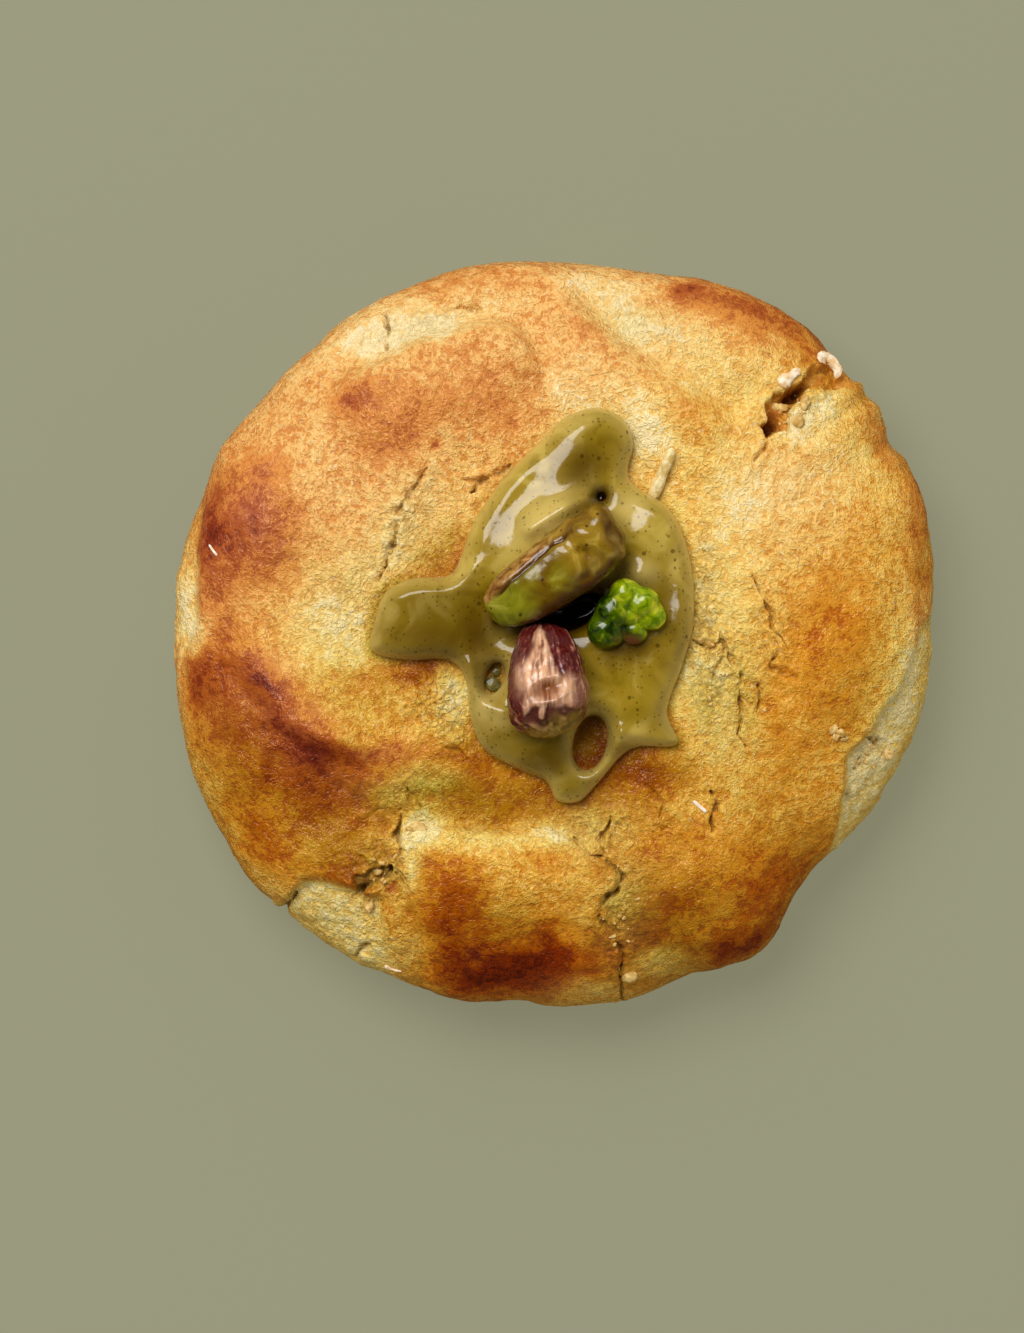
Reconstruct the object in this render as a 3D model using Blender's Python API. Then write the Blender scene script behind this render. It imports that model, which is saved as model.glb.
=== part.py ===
# Pistachio cookie: a thick baked cookie with folds and cracks, a spill of pistachio cream
# on its crown and three shelled pistachio kernels in the cream.
# Every length below is in millimetres, +Z is up, and the flat base lies on z = 0.
# The cookie is seen from above in the photo, with the photo's up along +Y.

import math

import bmesh
import bpy
import numpy as np
from mathutils import Matrix, Vector, geometry, noise
from mathutils.bvhtree import BVHTree

MM = 0.001                      # Blender works in metres

# Plan outline of the cookie: a slightly oval rim with named swells and notches.
RIM_RADIUS = 39.95
RIM_OVAL = 0.8                  # half the difference between the long and the short radius
RIM_OVAL_ANGLE = 38             # degrees, direction of the long radius
RIM_LOBES = [                   # direction in degrees, reach, half width in degrees
    (3, -0.3, 5),
    (22, 0.8, 6),
    (36, 0.8, 4),
    (54, 1.2, 10),
    (83, -0.8, 9),
    (104, 0.5, 8),
    (121, 0.6, 9),
    (137, 0.4, 8),
    (150, 1.1, 7),
    (168, 0.5, 8),
    (203, 0.4, 9),
    (219, 0.6, 6),
    (247, -0.5, 9),
    (264, -0.9, 6),
    (290, -0.5, 4),
    (303, 0.9, 6),
    (317, -2.0, 8),
    (331, -1.1, 12),
]

# Side profile: a flat foot, a tucked-in wall up to the widest level, and a domed crown.
WIDEST_HEIGHT = 5.5
CROWN_RISE = 13.0               # from the widest level up to the crown
CROWN_POWER = 2.6               # 2 is an ellipse, more is a flatter top with a fuller shoulder
FOOT_SHARE = 0.91               # foot radius as a share of the rim radius
PROFILE_STEPS = 240
FOOT_DETAIL = 0.12              # the flat foot needs few faces

# Broad swells of the crown: x, y, half length, half width, turn in degrees, height.
MOUNDS = {
    "upper left": (-14.0, 25.5, 10.0, 5.5, 24, 1.0),
    "west": (-31.5, 12.0, 7.0, 5.0, 70, 1.3),
    "west shoulder": (-29.0, -9.5, 8.0, 4.0, -35, 1.0),
    "north ridge": (9.0, 26.0, 11.0, 4.5, -38, 1.0),
    "north east": (20.5, 31.0, 9.0, 4.5, -30, 0.9),
    "east": (29.3, 3.7, 11.0, 19.0, 0, 1.3),
    "south east": (17.1, -26.5, 12.0, 8.0, 25, 1.0),
    "south": (-7.5, -28.5, 9.0, 8.0, 0, 0.6),
    "south west": (-31.0, -15.0, 7.0, 6.0, -50, 0.6),
    "west hollow": (-22.0, 2.0, 9.0, 7.0, 0, -0.9),
    "crown hollow": (1.0, 3.0, 15.0, 18.0, -12, -1.5),
    "south hollow": (-8.0, -18.6, 17.0, 4.6, 2, -1.3),
    "south west hollow": (-24.5, -17.0, 7.0, 5.0, -20, -0.7),
}

# Folds of dough: the raised side lies to the left of the path.
# rise and drop are the step above and below, reach_up and reach_down how far they carry,
# edge is the half width of the step itself and ends the share that fades at each end.
# A fold with a block keeps its rise over the whole of that oval. A fold with a shelf is torn:
# the dough beyond it is lower by that share of its height over the widest level.
FOLDS = {
    "upper left": {
        "path": [(-1.2, 25.5), (-3.4, 31.6), (-7.0, 32.8), (-12.6, 31.4), (-19.5, 28.6), (-25.5, 24.8)],
        "rise": 0.8, "drop": 1.8, "reach_up": 5.0, "reach_down": 4.0, "edge": 0.9, "ends": 0.2,
    },
    "north ridge": {
        "path": [(19.4, 20.5), (15.5, 24.9), (9.1, 28.6), (3.8, 33.4), (0.2, 37.0)],
        "rise": 0.7, "drop": 1.2, "reach_up": 4.0, "reach_down": 4.5, "edge": 1.4, "ends": 0.12,
    },
    "right ledge": {
        "path": [(28.6, -24.0), (29.2, -22.6), (30.2, -19.3), (30.6, -16.7), (30.7, -15.0), (31.0, -12.9),
                 (32.1, -11.6), (33.1, -10.6), (33.8, -9.5), (35.0, -7.4), (36.3, -5.5), (37.0, -3.6),
                 (38.0, -1.4), (38.9, 0.9), (40.4, 4.2)],
        "rise": 0.45, "shelf": 0.42, "reach_up": 3.0, "edge": 0.35, "ends": 0.03,
    },
    "left ridge": {
        "path": [(-37.0, -0.5), (-33.3, -3.5), (-28.5, -9.2), (-23.2, -12.2), (-15.5, -12.2)],
        "rise": 0.9, "drop": 1.5, "reach_up": 3.5, "reach_down": 3.5, "edge": 0.9, "ends": 0.12,
    },
    "south block": {
        "path": [(7.3, -39.0), (6.9, -33.0), (5.2, -28.6), (6.7, -25.4), (3.4, -22.6), (-0.6, -20.6),
                 (-8.9, -20.6), (-15.4, -20.2), (-16.3, -22.8), (-15.6, -27.0), (-13.6, -33.0),
                 (-12.4, -39.0)],
        "rise": 1.5, "drop": 0.3, "block": (-8.5, -25.0, 15.0, 13.0, 0), "reach_down": 3.0, "edge": 0.55,
    },
    "south west tier": {
        "path": [(-30.2, -28.4), (-28.4, -28.2), (-27.6, -27.4), (-26.6, -26.1), (-24.0, -25.9),
                 (-22.6, -26.3), (-21.2, -26.8), (-19.6, -27.6), (-17.6, -27.4)],
        "rise": 0.35, "shelf": 0.24, "reach_up": 3.0, "edge": 0.5, "ends": 0.10,
    },
    "far west tier": {
        "path": [(-36.8, 15.5), (-37.4, 8.0), (-37.5, 2.6), (-39.0, -3.0)],
        "rise": 0.25, "shelf": 0.30, "reach_up": 3.0, "edge": 0.4, "ends": 0.15,
    },
}

# Cracks in the crust: path, half width and depth.
CRACKS = {
    "upper left": ([(-13.4, 17.5), (-15.5, 14.2), (-17.2, 9.5), (-18.4, 5.6)], 0.30, 0.7),
    "south west upper": ([(-16.2, -18.6), (-16.4, -21.4), (-16.0, -22.4), (-16.7, -24.6)], 0.45, 1.6),
    "south west tail": ([(-19.9, -27.0), (-21.0, -28.0), (-22.2, -29.0)], 0.40, 1.0),
    "south west notch": ([(-28.8, -29.2), (-28.1, -28.2), (-27.2, -26.7), (-26.0, -25.6)], 0.60, 1.6),
    "block right": ([(2.1, -21.5), (4.9, -23.6), (7.0, -25.5), (5.4, -27.3), (4.6, -29.4), (6.5, -31.9),
                     (7.0, -34.4), (6.8, -36.0), (7.1, -39.6)], 0.40, 1.3),
    "block branch": ([(6.1, -19.2), (5.1, -20.9), (4.7, -22.4), (5.3, -23.6)], 0.30, 0.8),
    "east long": ([(14.6, -0.5), (17.6, -0.7), (18.2, -2.2), (19.5, -6.3), (19.4, -10.3), (20.0, -11.8)],
                  0.38, 1.2),
    "east upper": ([(20.6, 6.0), (22.5, 2.6), (22.7, 0.7), (24.4, -1.6)], 0.30, 0.8),
    "east lower": ([(23.3, -2.0), (22.7, -3.5), (25.5, -4.7)], 0.30, 0.8),
    "south pits": ([(16.3, -16.3), (16.9, -18.1), (16.6, -20.6)], 0.38, 0.9),
    "valley": ([(-17.8, 33.8), (-17.1, 31.9), (-17.6, 30.0)], 0.38, 0.9),
}
CRACK_WANDER = 0.30             # sideways wander of a crack's line
CRACK_WANDER_SIZE = 1.6

# Where the crust is broken open: outline, depth and the deeper places in it
# (x, y, half length, half width, turn in degrees, extra depth).
OPENINGS = {
    "hole": {
        "outline": [(22.1, 24.0), (23.0, 25.4), (24.8, 26.0), (25.8, 26.5), (26.3, 27.4), (27.2, 28.4),
                    (29.4, 28.3), (30.3, 27.6), (30.9, 26.3), (29.2, 25.7), (27.6, 25.6), (26.7, 25.7),
                    (26.2, 24.8), (24.9, 23.7), (24.8, 22.8), (24.7, 21.3), (23.1, 21.1), (22.1, 20.3),
                    (21.5, 21.9), (22.3, 22.6)],
        "depth": 1.5,
        "deep": [(26.2, 25.9, 1.3, 0.8, 35, 2.3), (24.6, 24.7, 1.1, 0.5, 40, 1.6),
                 (22.9, 22.0, 1.4, 0.9, 40, 2.4)],
    },
    "south west": {
        "outline": [(-21.0, -25.3), (-18.8, -24.7), (-17.0, -24.1), (-16.8, -25.3), (-18.5, -26.2),
                    (-19.9, -27.3), (-20.4, -27.8), (-21.1, -26.7)],
        "depth": 1.3,
        "deep": [(-20.3, -27.1, 0.7, 0.6, 0, 1.2), (-17.1, -24.8, 1.0, 0.5, 40, 1.2)],
    },
}
OPENING_WALL = 0.3              # how far inside the outline an opening reaches its depth

# Uneven crumb of the crust: size across, height.
CRUMB = [(17.0, 0.45), (7.0, 0.25), (3.2, 0.12)]
WALL_CRUMB = 0.5                # how much of it the wall below the rim keeps
SMOOTH_UNDER_CREAM = 0.85       # how much of it goes where the cream lies

COOKIE_SUBDIVISIONS = 7
COOKIE_TRIANGLES = 8600
SNAP_TO_FOOT = 0.04

# Pistachio cream: outline run anticlockwise, joined by a smooth curve.
CREAM_OUTLINE = [
    (4.2, 23.8), (1.0, 22.7), (-1.6, 20.2), (-5.4, 16.4), (-8.6, 11.6), (-9.9, 8.0),
    (-11.2, 6.2), (-15.0, 5.9), (-17.8, 4.4), (-18.9, 1.4), (-19.2, -1.7), (-15.6, -2.5),
    (-11.2, -2.3), (-9.4, -4.6), (-8.9, -8.4), (-7.4, -12.0), (-3.6, -14.2), (-0.9, -15.4),
    (0.2, -17.4), (2.6, -17.5), (4.7, -15.4), (8.0, -12.0), (12.9, -11.5), (11.8, -8.0),
    (13.4, -3.2), (14.6, 1.5), (14.2, 8.0), (12.0, 13.2), (7.9, 16.2), (8.3, 20.2), (6.9, 22.8),
]
CREAM_WINDOW = (3.7, -11.3, 1.7, 2.9, -12)   # x, y, half width, half height, turn in degrees
CREAM_EYE = (-6.3, -4.6, 0.9, 1.7, -20)
CREAM_EDGE = 1.9                # width of the rounded edge
CREAM_LIP = 0.35                # thickness at the very edge
CREAM_THICKNESS = 2.6
CREAM_SWELLS = [                # x, y, half length, half width, turn in degrees, height
    (3.2, 19.8, 4.6, 3.2, 58, 1.6),
    (-1.2, 10.8, 6.6, 4.2, 38, 1.7),
    (-14.6, 2.4, 4.4, 3.0, 5, 0.35),
    (8.9, 6.3, 1.5, 1.5, 0, 1.0),
    (3.2, 2.4, 2.6, 1.5, 22, -3.0),
    (1.6, 3.4, 5.4, 1.2, 30, -1.3),
    (4.6, 14.3, 1.0, 0.9, 40, -2.0),
    (10.9, -9.8, 3.0, 2.6, -30, -0.9),
    (1.5, -15.0, 3.2, 2.4, 0, -0.8),
    (-7.6, -6.5, 2.4, 5.0, 8, -0.8),
    (-5.0, -11.6, 3.0, 2.0, -30, -0.6),
    (-8.6, 2.0, 2.6, 2.4, 0, -0.5),
]
CREAM_RIDGES = [                # path, half width, height
    ([(-2.6, 11.0), (-0.6, 12.4), (1.4, 13.6), (3.2, 14.2)], 1.0, 0.9),
    ([(-9.0, -3.0), (-8.6, -5.6), (-7.2, -7.2), (-5.4, -8.2)], 0.8, 0.6),
    ([(1.6, -14.0), (3.6, -14.9), (5.8, -12.8), (6.8, -10.2)], 0.8, 0.45),
]
CREAM_SPACING = 1.3             # distance between the cream's mesh points
CREAM_RINGS = [0.55, 1.35]      # extra rows of points this far inside the edge
CREAM_GAP = 0.32                # clearance under the cream and round the kernels
CREAM_LEAST = 0.45              # thinnest film under a kernel
CREAM_SLACK = 0.15              # more clearance round the kernels, for their flat faces

# Kernels: half is half the length, width and height, turn is yaw, pitch and roll in degrees,
# power is 2 for an ellipsoid and more for a blunter one, flare widens the far end,
# bow bends both ends sideways, skew turns the far end sideways and belly lifts the middle, all
# three as shares of the half sizes. tip is how far a blunt corner of the far end stands out.
COATED_KERNEL = {
    "centre": (-0.2, 6.7, 21.5), "half": (8.1, 3.7, 3.4), "turn": (35, -5, 8),
    "power": 2.8, "flare": 0.14, "bow": 0.10, "skew": 0.06, "belly": 0.06, "tip": 0.9,
}
SKINNED_KERNEL = {
    "centre": (-0.8, -4.6, 22.0), "half": (5.9, 4.0, 3.7), "turn": (-87, -16, 0),
    "power": 2.6, "flare": 0.24, "bow": -0.05, "skew": 0.0, "belly": 0.06, "tip": 0.0,
}
TIP_PLACE = (7.2, 2.6)          # the tip's corner along and across the kernel
TIP_SIZE = (1.5, 1.3)
KERNEL_RINGS = 12
KERNEL_SEGMENTS = 20
GREEN_KERNEL_LOBES = [          # centre x, y, z and radius
    (5.3, 0.4, 20.4, 2.1),
    (6.1, 2.4, 20.9, 2.1),
    (7.3, 4.3, 21.3, 1.8),
    (9.2, 3.3, 21.3, 1.9),
    (10.2, 1.9, 20.9, 1.6),
    (8.3, 0.3, 20.3, 1.6),
]
GREEN_KERNEL_SUBDIVISIONS = 3
CLEAR_HEIGHT = 60.0             # above everything

MATERIALS = {                   # base colour, roughness
    "cookie": ((0.57, 0.32, 0.10, 1.0), 0.75),
    "pistachio_cream": ((0.21, 0.17, 0.025, 1.0), 0.25),
    "kernel_coated": ((0.20, 0.15, 0.03, 1.0), 0.35),
    "kernel_green": ((0.12, 0.22, 0.01, 1.0), 0.40),
    "kernel_skinned": ((0.30, 0.11, 0.08, 1.0), 0.45),
}


def clear_scene():
    for item in list(bpy.data.objects):
        bpy.data.objects.remove(item, do_unlink=True)


def soft_step(value, low, high):
    share = np.clip((value - low) / (high - low), 0.0, 1.0)
    return share * share * (3.0 - 2.0 * share)


def smooth_curve(points, closed=False, steps=6):
    """Points of a Catmull-Rom curve through the given points."""
    points = [np.array(point, dtype=float) for point in points]
    count = len(points)
    spans = count if closed else count - 1
    curve = []
    for index in range(spans):
        if closed:
            before, start, end, after = (points[(index + shift) % count] for shift in (-1, 0, 1, 2))
        else:
            before = points[max(index - 1, 0)]
            start = points[index]
            end = points[index + 1]
            after = points[min(index + 2, count - 1)]
        for step in range(steps):
            t = step / steps
            curve.append(0.5 * (
                2.0 * start + (end - before) * t
                + (2.0 * before - 5.0 * start + 4.0 * end - after) * t * t
                + (3.0 * start - before - 3.0 * end + after) * t * t * t))
    if not closed:
        curve.append(points[-1])
    return np.array(curve)


def path_distance(plan, path):
    """Distance from plan points to a path, the side they lie on (+1 is left) and the share along it."""
    nearest = np.full(len(plan), 1e9)
    side = np.ones(len(plan))
    along = np.zeros(len(plan))
    lengths = np.linalg.norm(np.diff(path, axis=0), axis=1)
    total = lengths.sum()
    travelled = 0.0
    for start, end, length in zip(path[:-1], path[1:], lengths):
        direction = (end - start) / length
        offset = plan - start
        reach = np.clip(offset @ direction, 0.0, length)
        distance = np.linalg.norm(offset - reach[:, None] * direction, axis=1)
        closer = distance < nearest
        nearest = np.where(closer, distance, nearest)
        turn = direction[0] * offset[:, 1] - direction[1] * offset[:, 0]
        side = np.where(closer, np.sign(turn), side)
        along = np.where(closer, (travelled + reach) / total, along)
        travelled += length
    return nearest, side, along


def crumb_noise(points, size, seed):
    shift = Vector((seed * 17.3, seed * 5.1, seed * 9.7))
    return np.array([noise.noise(Vector(point) / size + shift) for point in points])


def oval(plan, x, y, half_length, half_width, turn):
    """Distance from an oval's centre, 1 on the oval itself."""
    angle = math.radians(turn)
    shifted_x = plan[:, 0] - x
    shifted_y = plan[:, 1] - y
    across = shifted_x * math.cos(angle) + shifted_y * math.sin(angle)
    up = -shifted_x * math.sin(angle) + shifted_y * math.cos(angle)
    return np.sqrt((across / half_length) ** 2 + (up / half_width) ** 2)


def rim_radius(angle):
    """Plan radius of the cookie in each direction, in radians."""
    degrees = np.degrees(angle)
    radius = RIM_RADIUS + RIM_OVAL * np.cos(np.radians(2.0 * (degrees - RIM_OVAL_ANGLE)))
    for direction, reach, half_width in RIM_LOBES:
        away = (degrees - direction + 180.0) % 360.0 - 180.0
        radius = radius + reach * np.exp(-(away / half_width) ** 2)
    return radius


def side_profile():
    """The cookie's side from the crown's top to the middle of the foot: radius share, height,
    share of the skin covered so far and how far its skin faces sideways. The last two values
    are the covered shares at the widest level and at the foot's rim."""
    turn = np.linspace(0.0, math.pi / 2.0, PROFILE_STEPS)
    crown_share = np.sin(turn) ** (2.0 / CROWN_POWER)
    crown_height = WIDEST_HEIGHT + CROWN_RISE * np.cos(turn).clip(0.0) ** (2.0 / CROWN_POWER)
    wall_share = FOOT_SHARE + (1.0 - FOOT_SHARE) * np.cos(turn)
    wall_height = WIDEST_HEIGHT * (1.0 - np.sin(turn))
    foot_share = FOOT_SHARE * (1.0 - turn / turn[-1])
    share = np.concatenate([crown_share, wall_share[1:], foot_share[1:]])
    height = np.concatenate([crown_height, wall_height[1:], np.zeros(PROFILE_STEPS - 1)])
    run = np.diff(share) * RIM_RADIUS
    fall = np.diff(height)
    length = np.hypot(run, fall)
    middle = 0.5 * (share[:-1] + share[1:])
    widest = PROFILE_STEPS - 1
    foot = 2 * widest
    area = length * middle * np.where(np.arange(len(length)) >= foot, FOOT_DETAIL, 1.0)
    covered = np.concatenate([[0.0], np.cumsum(area) / area.sum()])
    sideways = np.gradient(-height) / np.hypot(np.gradient(share * RIM_RADIUS), np.gradient(height))
    return share, height, covered, sideways, covered[widest], covered[foot]


def fold_relief(plan, z):
    relief = np.zeros(len(plan))
    above = np.maximum(z - WIDEST_HEIGHT, 0.0)
    for fold in FOLDS.values():
        distance, side, along = path_distance(plan, smooth_curve(fold["path"]))
        signed = distance * side
        faded = fold.get("ends", 0.0)
        ends = soft_step(np.minimum(along, 1.0 - along), -1e-6, faded)
        step = soft_step(signed, -fold["edge"], fold["edge"])
        if "block" in fold:
            carry = np.exp(-oval(plan, *fold["block"]) ** 2)
        else:
            carry = np.exp(-(np.maximum(signed, 0.0) / fold["reach_up"]) ** 2)
        if "shelf" in fold:
            fall = fold["shelf"] * above
        else:
            fall = fold["drop"] * np.exp(-(np.maximum(-signed, 0.0) / fold["reach_down"]) ** 2)
        relief += (fold["rise"] * step * carry - fall * (1.0 - step)) * ends
    return relief


def mound_relief(plan):
    relief = np.zeros(len(plan))
    for x, y, half_length, half_width, turn, height in MOUNDS.values():
        relief += height * np.exp(-oval(plan, x, y, half_length, half_width, turn) ** 2)
    return relief


def crack_depth(plan):
    flat = np.column_stack([plan, np.zeros(len(plan))])
    wander = np.column_stack([
        crumb_noise(flat, CRACK_WANDER_SIZE, 3),
        crumb_noise(flat, CRACK_WANDER_SIZE, 4)]) * CRACK_WANDER
    cut = np.zeros(len(plan))
    for path, half_width, depth in CRACKS.values():
        distance, _, along = path_distance(plan + wander, np.array(path))
        taper = 0.35 + 0.65 * np.sin(math.pi * along.clip(0.05, 0.95))
        reach = 1.0 - soft_step(distance, 0.35 * half_width, 1.6 * half_width * taper)
        cut = np.maximum(cut, depth * reach)
    return cut


def opening_depth(plan):
    opened = np.zeros(len(plan))
    for opening in OPENINGS.values():
        floor = np.full(len(plan), opening["depth"])
        for x, y, half_length, half_width, turn, extra in opening["deep"]:
            floor += extra * np.exp(-oval(plan, x, y, half_length, half_width, turn) ** 4)
        inside = outline_distance(plan, np.array(opening["outline"]))
        opened = np.maximum(opened, floor * soft_step(inside, -0.05, OPENING_WALL))
    return opened


def cookie_points(directions):
    """Turns unit sphere directions into points of the cookie's skin."""
    share, height, covered, sideways, widest, foot = side_profile()
    covered_here = (1.0 - directions[:, 2]) / 2.0
    on_crown = covered_here < widest
    on_foot = covered_here > foot
    z = np.interp(covered_here, covered, height)
    outward = np.interp(covered_here, covered, sideways)
    upward = np.sqrt(np.maximum(1.0 - outward ** 2, 0.0))
    angle = np.arctan2(directions[:, 1], directions[:, 0])
    radius = np.interp(covered_here, covered, share) * rim_radius(angle)
    spoke = np.column_stack([np.cos(angle), np.sin(angle)])
    plan = spoke * radius[:, None]

    lift = (mound_relief(plan) + fold_relief(plan, z)) * np.where(on_crown, 1.0, z / WIDEST_HEIGHT)
    points = np.column_stack([plan, z])
    crumb = np.zeros(len(points))
    for seed, (size, rise) in enumerate(CRUMB):
        crumb += rise * crumb_noise(points, size, seed + 11)
    under_cream = soft_step(outline_distance(plan, cream_edge()), -1.5, 1.5)
    crumb *= 1.0 - SMOOTH_UNDER_CREAM * under_cream
    crumb -= np.maximum(crack_depth(plan), opening_depth(plan))
    crumb *= np.where(on_crown, 1.0, WALL_CRUMB * soft_step(z, 0.0, WIDEST_HEIGHT))
    points[:, :2] += spoke * (outward * crumb)[:, None]
    points[:, 2] += np.where(on_crown, upward, 0.0) * crumb + lift
    points[on_foot, 2] = 0.0
    return points


def outline_distance(plan, edge):
    """Distance inside a closed outline, negative outside it."""
    ring = np.vstack([edge, edge[:1]])
    distance, _, _ = path_distance(plan, ring)
    inside = np.zeros(len(plan), dtype=bool)
    for start, end in zip(ring[:-1], ring[1:]):
        crosses = (start[1] > plan[:, 1]) != (end[1] > plan[:, 1])
        rise = end[1] - start[1]
        if rise != 0.0:
            at = start[0] + (plan[:, 1] - start[1]) * (end[0] - start[0]) / rise
            inside ^= crosses & (plan[:, 0] < at)
    return np.where(inside, distance, -distance)


def cream_edge():
    return smooth_curve(CREAM_OUTLINE, closed=True, steps=5)


def oval_ring(x, y, half_width, half_height, turn, count=12):
    angle = math.radians(turn)
    ring = []
    for index in range(count):
        step = 2.0 * math.pi * index / count
        across = half_width * math.cos(step)
        up = half_height * math.sin(step)
        ring.append((x + across * math.cos(angle) - up * math.sin(angle),
                     y + across * math.sin(angle) + up * math.cos(angle)))
    return np.array(ring)


def cream_inside(plan):
    """Distance inside the cream's plan shape with its two openings, negative outside."""
    inside = outline_distance(plan, cream_edge())
    for opening in (CREAM_WINDOW, CREAM_EYE):
        inside = np.minimum(inside, -outline_distance(plan, oval_ring(*opening)))
    return inside


def new_object(name, points, faces):
    mesh = bpy.data.meshes.new(name)
    mesh.from_pydata([tuple(point) for point in points], [], faces)
    mesh.update()
    item = bpy.data.objects.new(name, mesh)
    bpy.context.scene.collection.objects.link(item)
    colour, roughness = MATERIALS[name]
    material = bpy.data.materials.new(name)
    material.use_nodes = True
    shader = material.node_tree.nodes["Principled BSDF"]
    shader.inputs["Base Color"].default_value = colour
    shader.inputs["Roughness"].default_value = roughness
    shader.inputs["Metallic"].default_value = 0.0
    mesh.materials.append(material)
    mesh.shade_smooth()
    return item


def sphere_mesh(subdivisions):
    """Directions and faces of a ball made of equal triangles."""
    ball = bmesh.new()
    bmesh.ops.create_icosphere(ball, subdivisions=subdivisions, radius=1.0)
    directions = np.array([vertex.co.normalized()[:] for vertex in ball.verts])
    faces = [tuple(vertex.index for vertex in face.verts) for face in ball.faces]
    ball.free()
    return directions, faces


def apply_modifiers(item):
    bpy.context.view_layer.update()
    evaluated = item.evaluated_get(bpy.context.evaluated_depsgraph_get())
    mesh = bpy.data.meshes.new_from_object(evaluated)
    item.modifiers.clear()
    item.data = mesh
    mesh.shade_smooth()


def build_cookie():
    directions, faces = sphere_mesh(COOKIE_SUBDIVISIONS)
    cookie = new_object("cookie", cookie_points(directions) * MM, faces)
    thin = cookie.modifiers.new("fewer faces", "DECIMATE")
    thin.ratio = COOKIE_TRIANGLES / len(faces)
    apply_modifiers(cookie)
    for vertex in cookie.data.vertices:
        if vertex.co.z < SNAP_TO_FOOT * MM:
            vertex.co.z = 0.0
    return cookie


def shaped_kernel(name, kernel):
    """A blunt ellipsoid whose width changes along its length, with its poles at the two ends."""
    half = Vector(kernel["half"])
    yaw, pitch, roll = (math.radians(angle) for angle in kernel["turn"])
    turn = Matrix.Rotation(yaw, 3, "Z") @ Matrix.Rotation(pitch, 3, "Y") @ Matrix.Rotation(roll, 3, "X")
    centre = Vector(kernel["centre"])
    ball = bmesh.new()
    bmesh.ops.create_uvsphere(ball, u_segments=KERNEL_SEGMENTS, v_segments=KERNEL_RINGS, radius=1.0)
    bmesh.ops.rotate(ball, verts=ball.verts, matrix=Matrix.Rotation(math.pi / 2.0, 3, "Y"))
    for vertex in ball.verts:
        x, y, z = vertex.co
        total = abs(x) ** kernel["power"] + abs(y) ** kernel["power"] + abs(z) ** kernel["power"]
        blunt = total ** (-1.0 / kernel["power"])
        width = blunt * (1.0 + kernel["flare"] * x)
        local = Vector((x * half.x * blunt, y * half.y * width, z * half.z * width))
        local.y += (kernel["bow"] * x * x + kernel["skew"] * x) * half.y
        local.z += kernel["belly"] * half.z * (1.0 - x * x)
        away_x = (local.x - TIP_PLACE[0]) / TIP_SIZE[0]
        away_y = (local.y - TIP_PLACE[1]) / TIP_SIZE[1]
        corner = math.exp(-away_x ** 2 - away_y ** 2)
        local += Vector((x, y, z)).normalized() * kernel["tip"] * corner
        vertex.co = (centre + turn @ local) * MM
    points = [vertex.co.copy() for vertex in ball.verts]
    bmesh.ops.triangulate(ball, faces=ball.faces)
    faces = [tuple(vertex.index for vertex in face.verts) for face in ball.faces]
    ball.free()
    return new_object(name, points, faces)


def build_green_kernel():
    """One lumpy body: along each direction from its middle it reaches the farthest lobe."""
    directions, faces = sphere_mesh(GREEN_KERNEL_SUBDIVISIONS)
    centres = np.array([lobe[:3] for lobe in GREEN_KERNEL_LOBES])
    radii = np.array([lobe[3] for lobe in GREEN_KERNEL_LOBES])
    middle = centres.mean(axis=0)
    reach = np.zeros(len(directions))
    for centre, radius in zip(centres - middle, radii):
        along = directions @ centre
        room = along ** 2 - centre @ centre + radius ** 2
        hit = np.where(room > 0.0, along + np.sqrt(np.maximum(room, 0.0)), 0.0)
        reach = np.maximum(reach, hit)
    reach = np.maximum(reach, radii.min())
    return new_object("kernel_green", (middle + directions * reach[:, None]) * MM, faces)


def met_height(tree, plan, start, direction):
    """Height of the first surface met above or below each plan point, or CLEAR_HEIGHT."""
    heights = []
    for x, y in plan:
        hit = tree.ray_cast(Vector((x, y, start)) * MM, Vector((0.0, 0.0, direction)))[0]
        heights.append(hit.z / MM if hit else CLEAR_HEIGHT)
    return np.array(heights)


def grown_tree(item, growth):
    """Search tree of a shape pushed outwards along its normals."""
    points = [vertex.co + vertex.normal * growth * MM for vertex in item.data.vertices]
    faces = [tuple(face.vertices) for face in item.data.polygons]
    return BVHTree.FromPolygons(points, faces)


def cream_plan_points():
    """Plan points of the cream: its edges, rows just inside them and an even filling."""
    loops = [cream_edge(), oval_ring(*CREAM_WINDOW), oval_ring(*CREAM_EYE)]
    points = []
    edges = []
    for loop in loops:
        ring = even_ring(loop, CREAM_SPACING)
        first = len(points)
        points += [tuple(point) for point in ring]
        edges += [(first + index, first + (index + 1) % len(ring)) for index in range(len(ring))]
        outward = np.roll(ring, -1, axis=0) - np.roll(ring, 1, axis=0)
        outward = np.column_stack([-outward[:, 1], outward[:, 0]])
        outward /= np.linalg.norm(outward, axis=1)[:, None]
        for depth in CREAM_RINGS:
            for sign in (1.0, -1.0):
                row = ring + outward * depth * sign
                found = cream_inside(row)
                keep = found > 0.9 * depth
                points += [tuple(point) for point in spread_out(row[keep], 0.75 * CREAM_SPACING)]
    low = loops[0].min(axis=0)
    high = loops[0].max(axis=0)
    row_height = CREAM_SPACING * math.sqrt(3.0) / 2.0
    rows = np.arange(low[1], high[1], row_height)
    filling = np.array([
        (x, y) for row, y in enumerate(rows)
        for x in np.arange(low[0] + 0.5 * CREAM_SPACING * (row % 2), high[0], CREAM_SPACING)])
    deep = cream_inside(filling) > CREAM_RINGS[-1] + 0.6 * CREAM_SPACING
    points += [tuple(point) for point in filling[deep]]
    return points, edges


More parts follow.
